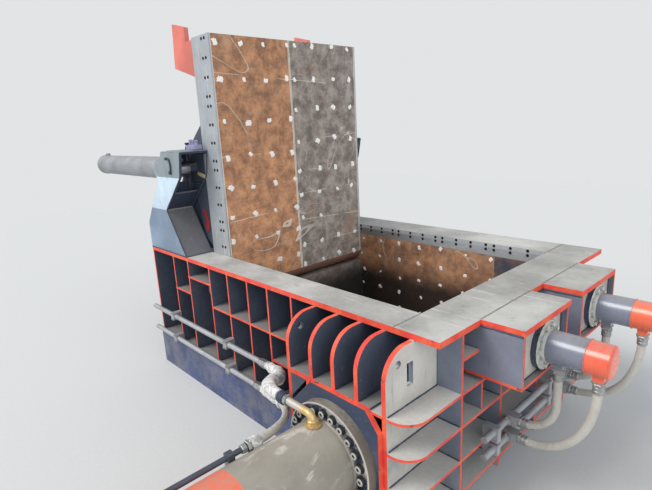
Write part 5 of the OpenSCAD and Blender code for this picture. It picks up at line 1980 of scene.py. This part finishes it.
class BALER_OT_lid_details(bpy.types.Operator):
    """Add the dark plates, painted as shade, and the pads on the lid's ears"""

    bl_idname = "baler.lid_details"
    bl_label = "Lid details"

    def execute(self, context):
        add_lid_details()
        return {"FINISHED"}


class BALER_OT_hinge(bpy.types.Operator):
    """Add the hinge pins' keepers"""

    bl_idname = "baler.hinge"
    bl_label = "Hinge keepers"

    def execute(self, context):
        add_hinge_keepers()
        return {"FINISHED"}


class BALER_OT_fittings(bpy.types.Operator):
    """Add the cylinders' rings and ports"""

    bl_idname = "baler.fittings"
    bl_label = "Cylinder fittings"

    def execute(self, context):
        add_cylinder_fittings()
        return {"FINISHED"}


class BALER_OT_pipes(bpy.types.Operator):
    """Add the pipes' unions and clamp bolts"""

    bl_idname = "baler.pipes"
    bl_label = "Pipe fittings"

    def execute(self, context):
        add_pipe_fittings()
        return {"FINISHED"}


class BALER_OT_gate(bpy.types.Operator):
    """Add the gate rails' strips and bolts"""

    bl_idname = "baler.gate"
    bl_label = "Gate details"

    def execute(self, context):
        add_gate_details()
        return {"FINISHED"}


OPERATORS = (
    BALER_OT_stage,
    BALER_OT_paint,
    BALER_OT_hoses,
    BALER_OT_flange_bolts,
    BALER_OT_main_cylinder,
    BALER_OT_strip_bolts,
    BALER_OT_plug_welds,
    BALER_OT_wall_welds,
    BALER_OT_end_welds,
    BALER_OT_top_welds,
    BALER_OT_tower_welds,
    BALER_OT_towers,
    BALER_OT_lid_details,
    BALER_OT_hinge,
    BALER_OT_fittings,
    BALER_OT_pipes,
    BALER_OT_gate,
)


class BALER_PT_panel(bpy.types.Panel):
    """Builds the baler's finish piece by piece"""

    bl_idname = "BALER_PT_panel"
    bl_label = "Baler"
    bl_space_type = "VIEW_3D"
    bl_region_type = "UI"
    bl_category = "Baler"

    def draw(self, context):
        """Lists the operators, then the sizes and the colours."""
        layout = self.layout
        for made in OPERATORS:
            layout.operator(made.bl_idname)
        for group in (context.scene.baler_sizes, context.scene.baler_colours):
            box = layout.box()
            for key in group.bl_rna.properties.keys():
                if key not in ("rna_type", "name"):
                    box.prop(group, key)


CLASSES = (BALER_PG_sizes, BALER_PG_colours, *OPERATORS, BALER_PT_panel)


def register():
    """Adds the classes and the two groups of settings."""
    for made in CLASSES:
        bpy.utils.register_class(made)
    bpy.types.Scene.baler_sizes = bpy.props.PointerProperty(type=BALER_PG_sizes)
    bpy.types.Scene.baler_colours = bpy.props.PointerProperty(type=BALER_PG_colours)


def unregister():
    """Takes away what register adds."""
    del bpy.types.Scene.baler_colours
    del bpy.types.Scene.baler_sizes
    for made in reversed(CLASSES):
        bpy.utils.unregister_class(made)


def main():
    """Builds everything in order."""
    register()
    bpy.context.scene.view_settings.view_transform = "Standard"
    for made in OPERATORS:
        group, name = made.bl_idname.split(".")
        getattr(getattr(bpy.ops, group), name)()


if __name__ == "__main__":
    main()
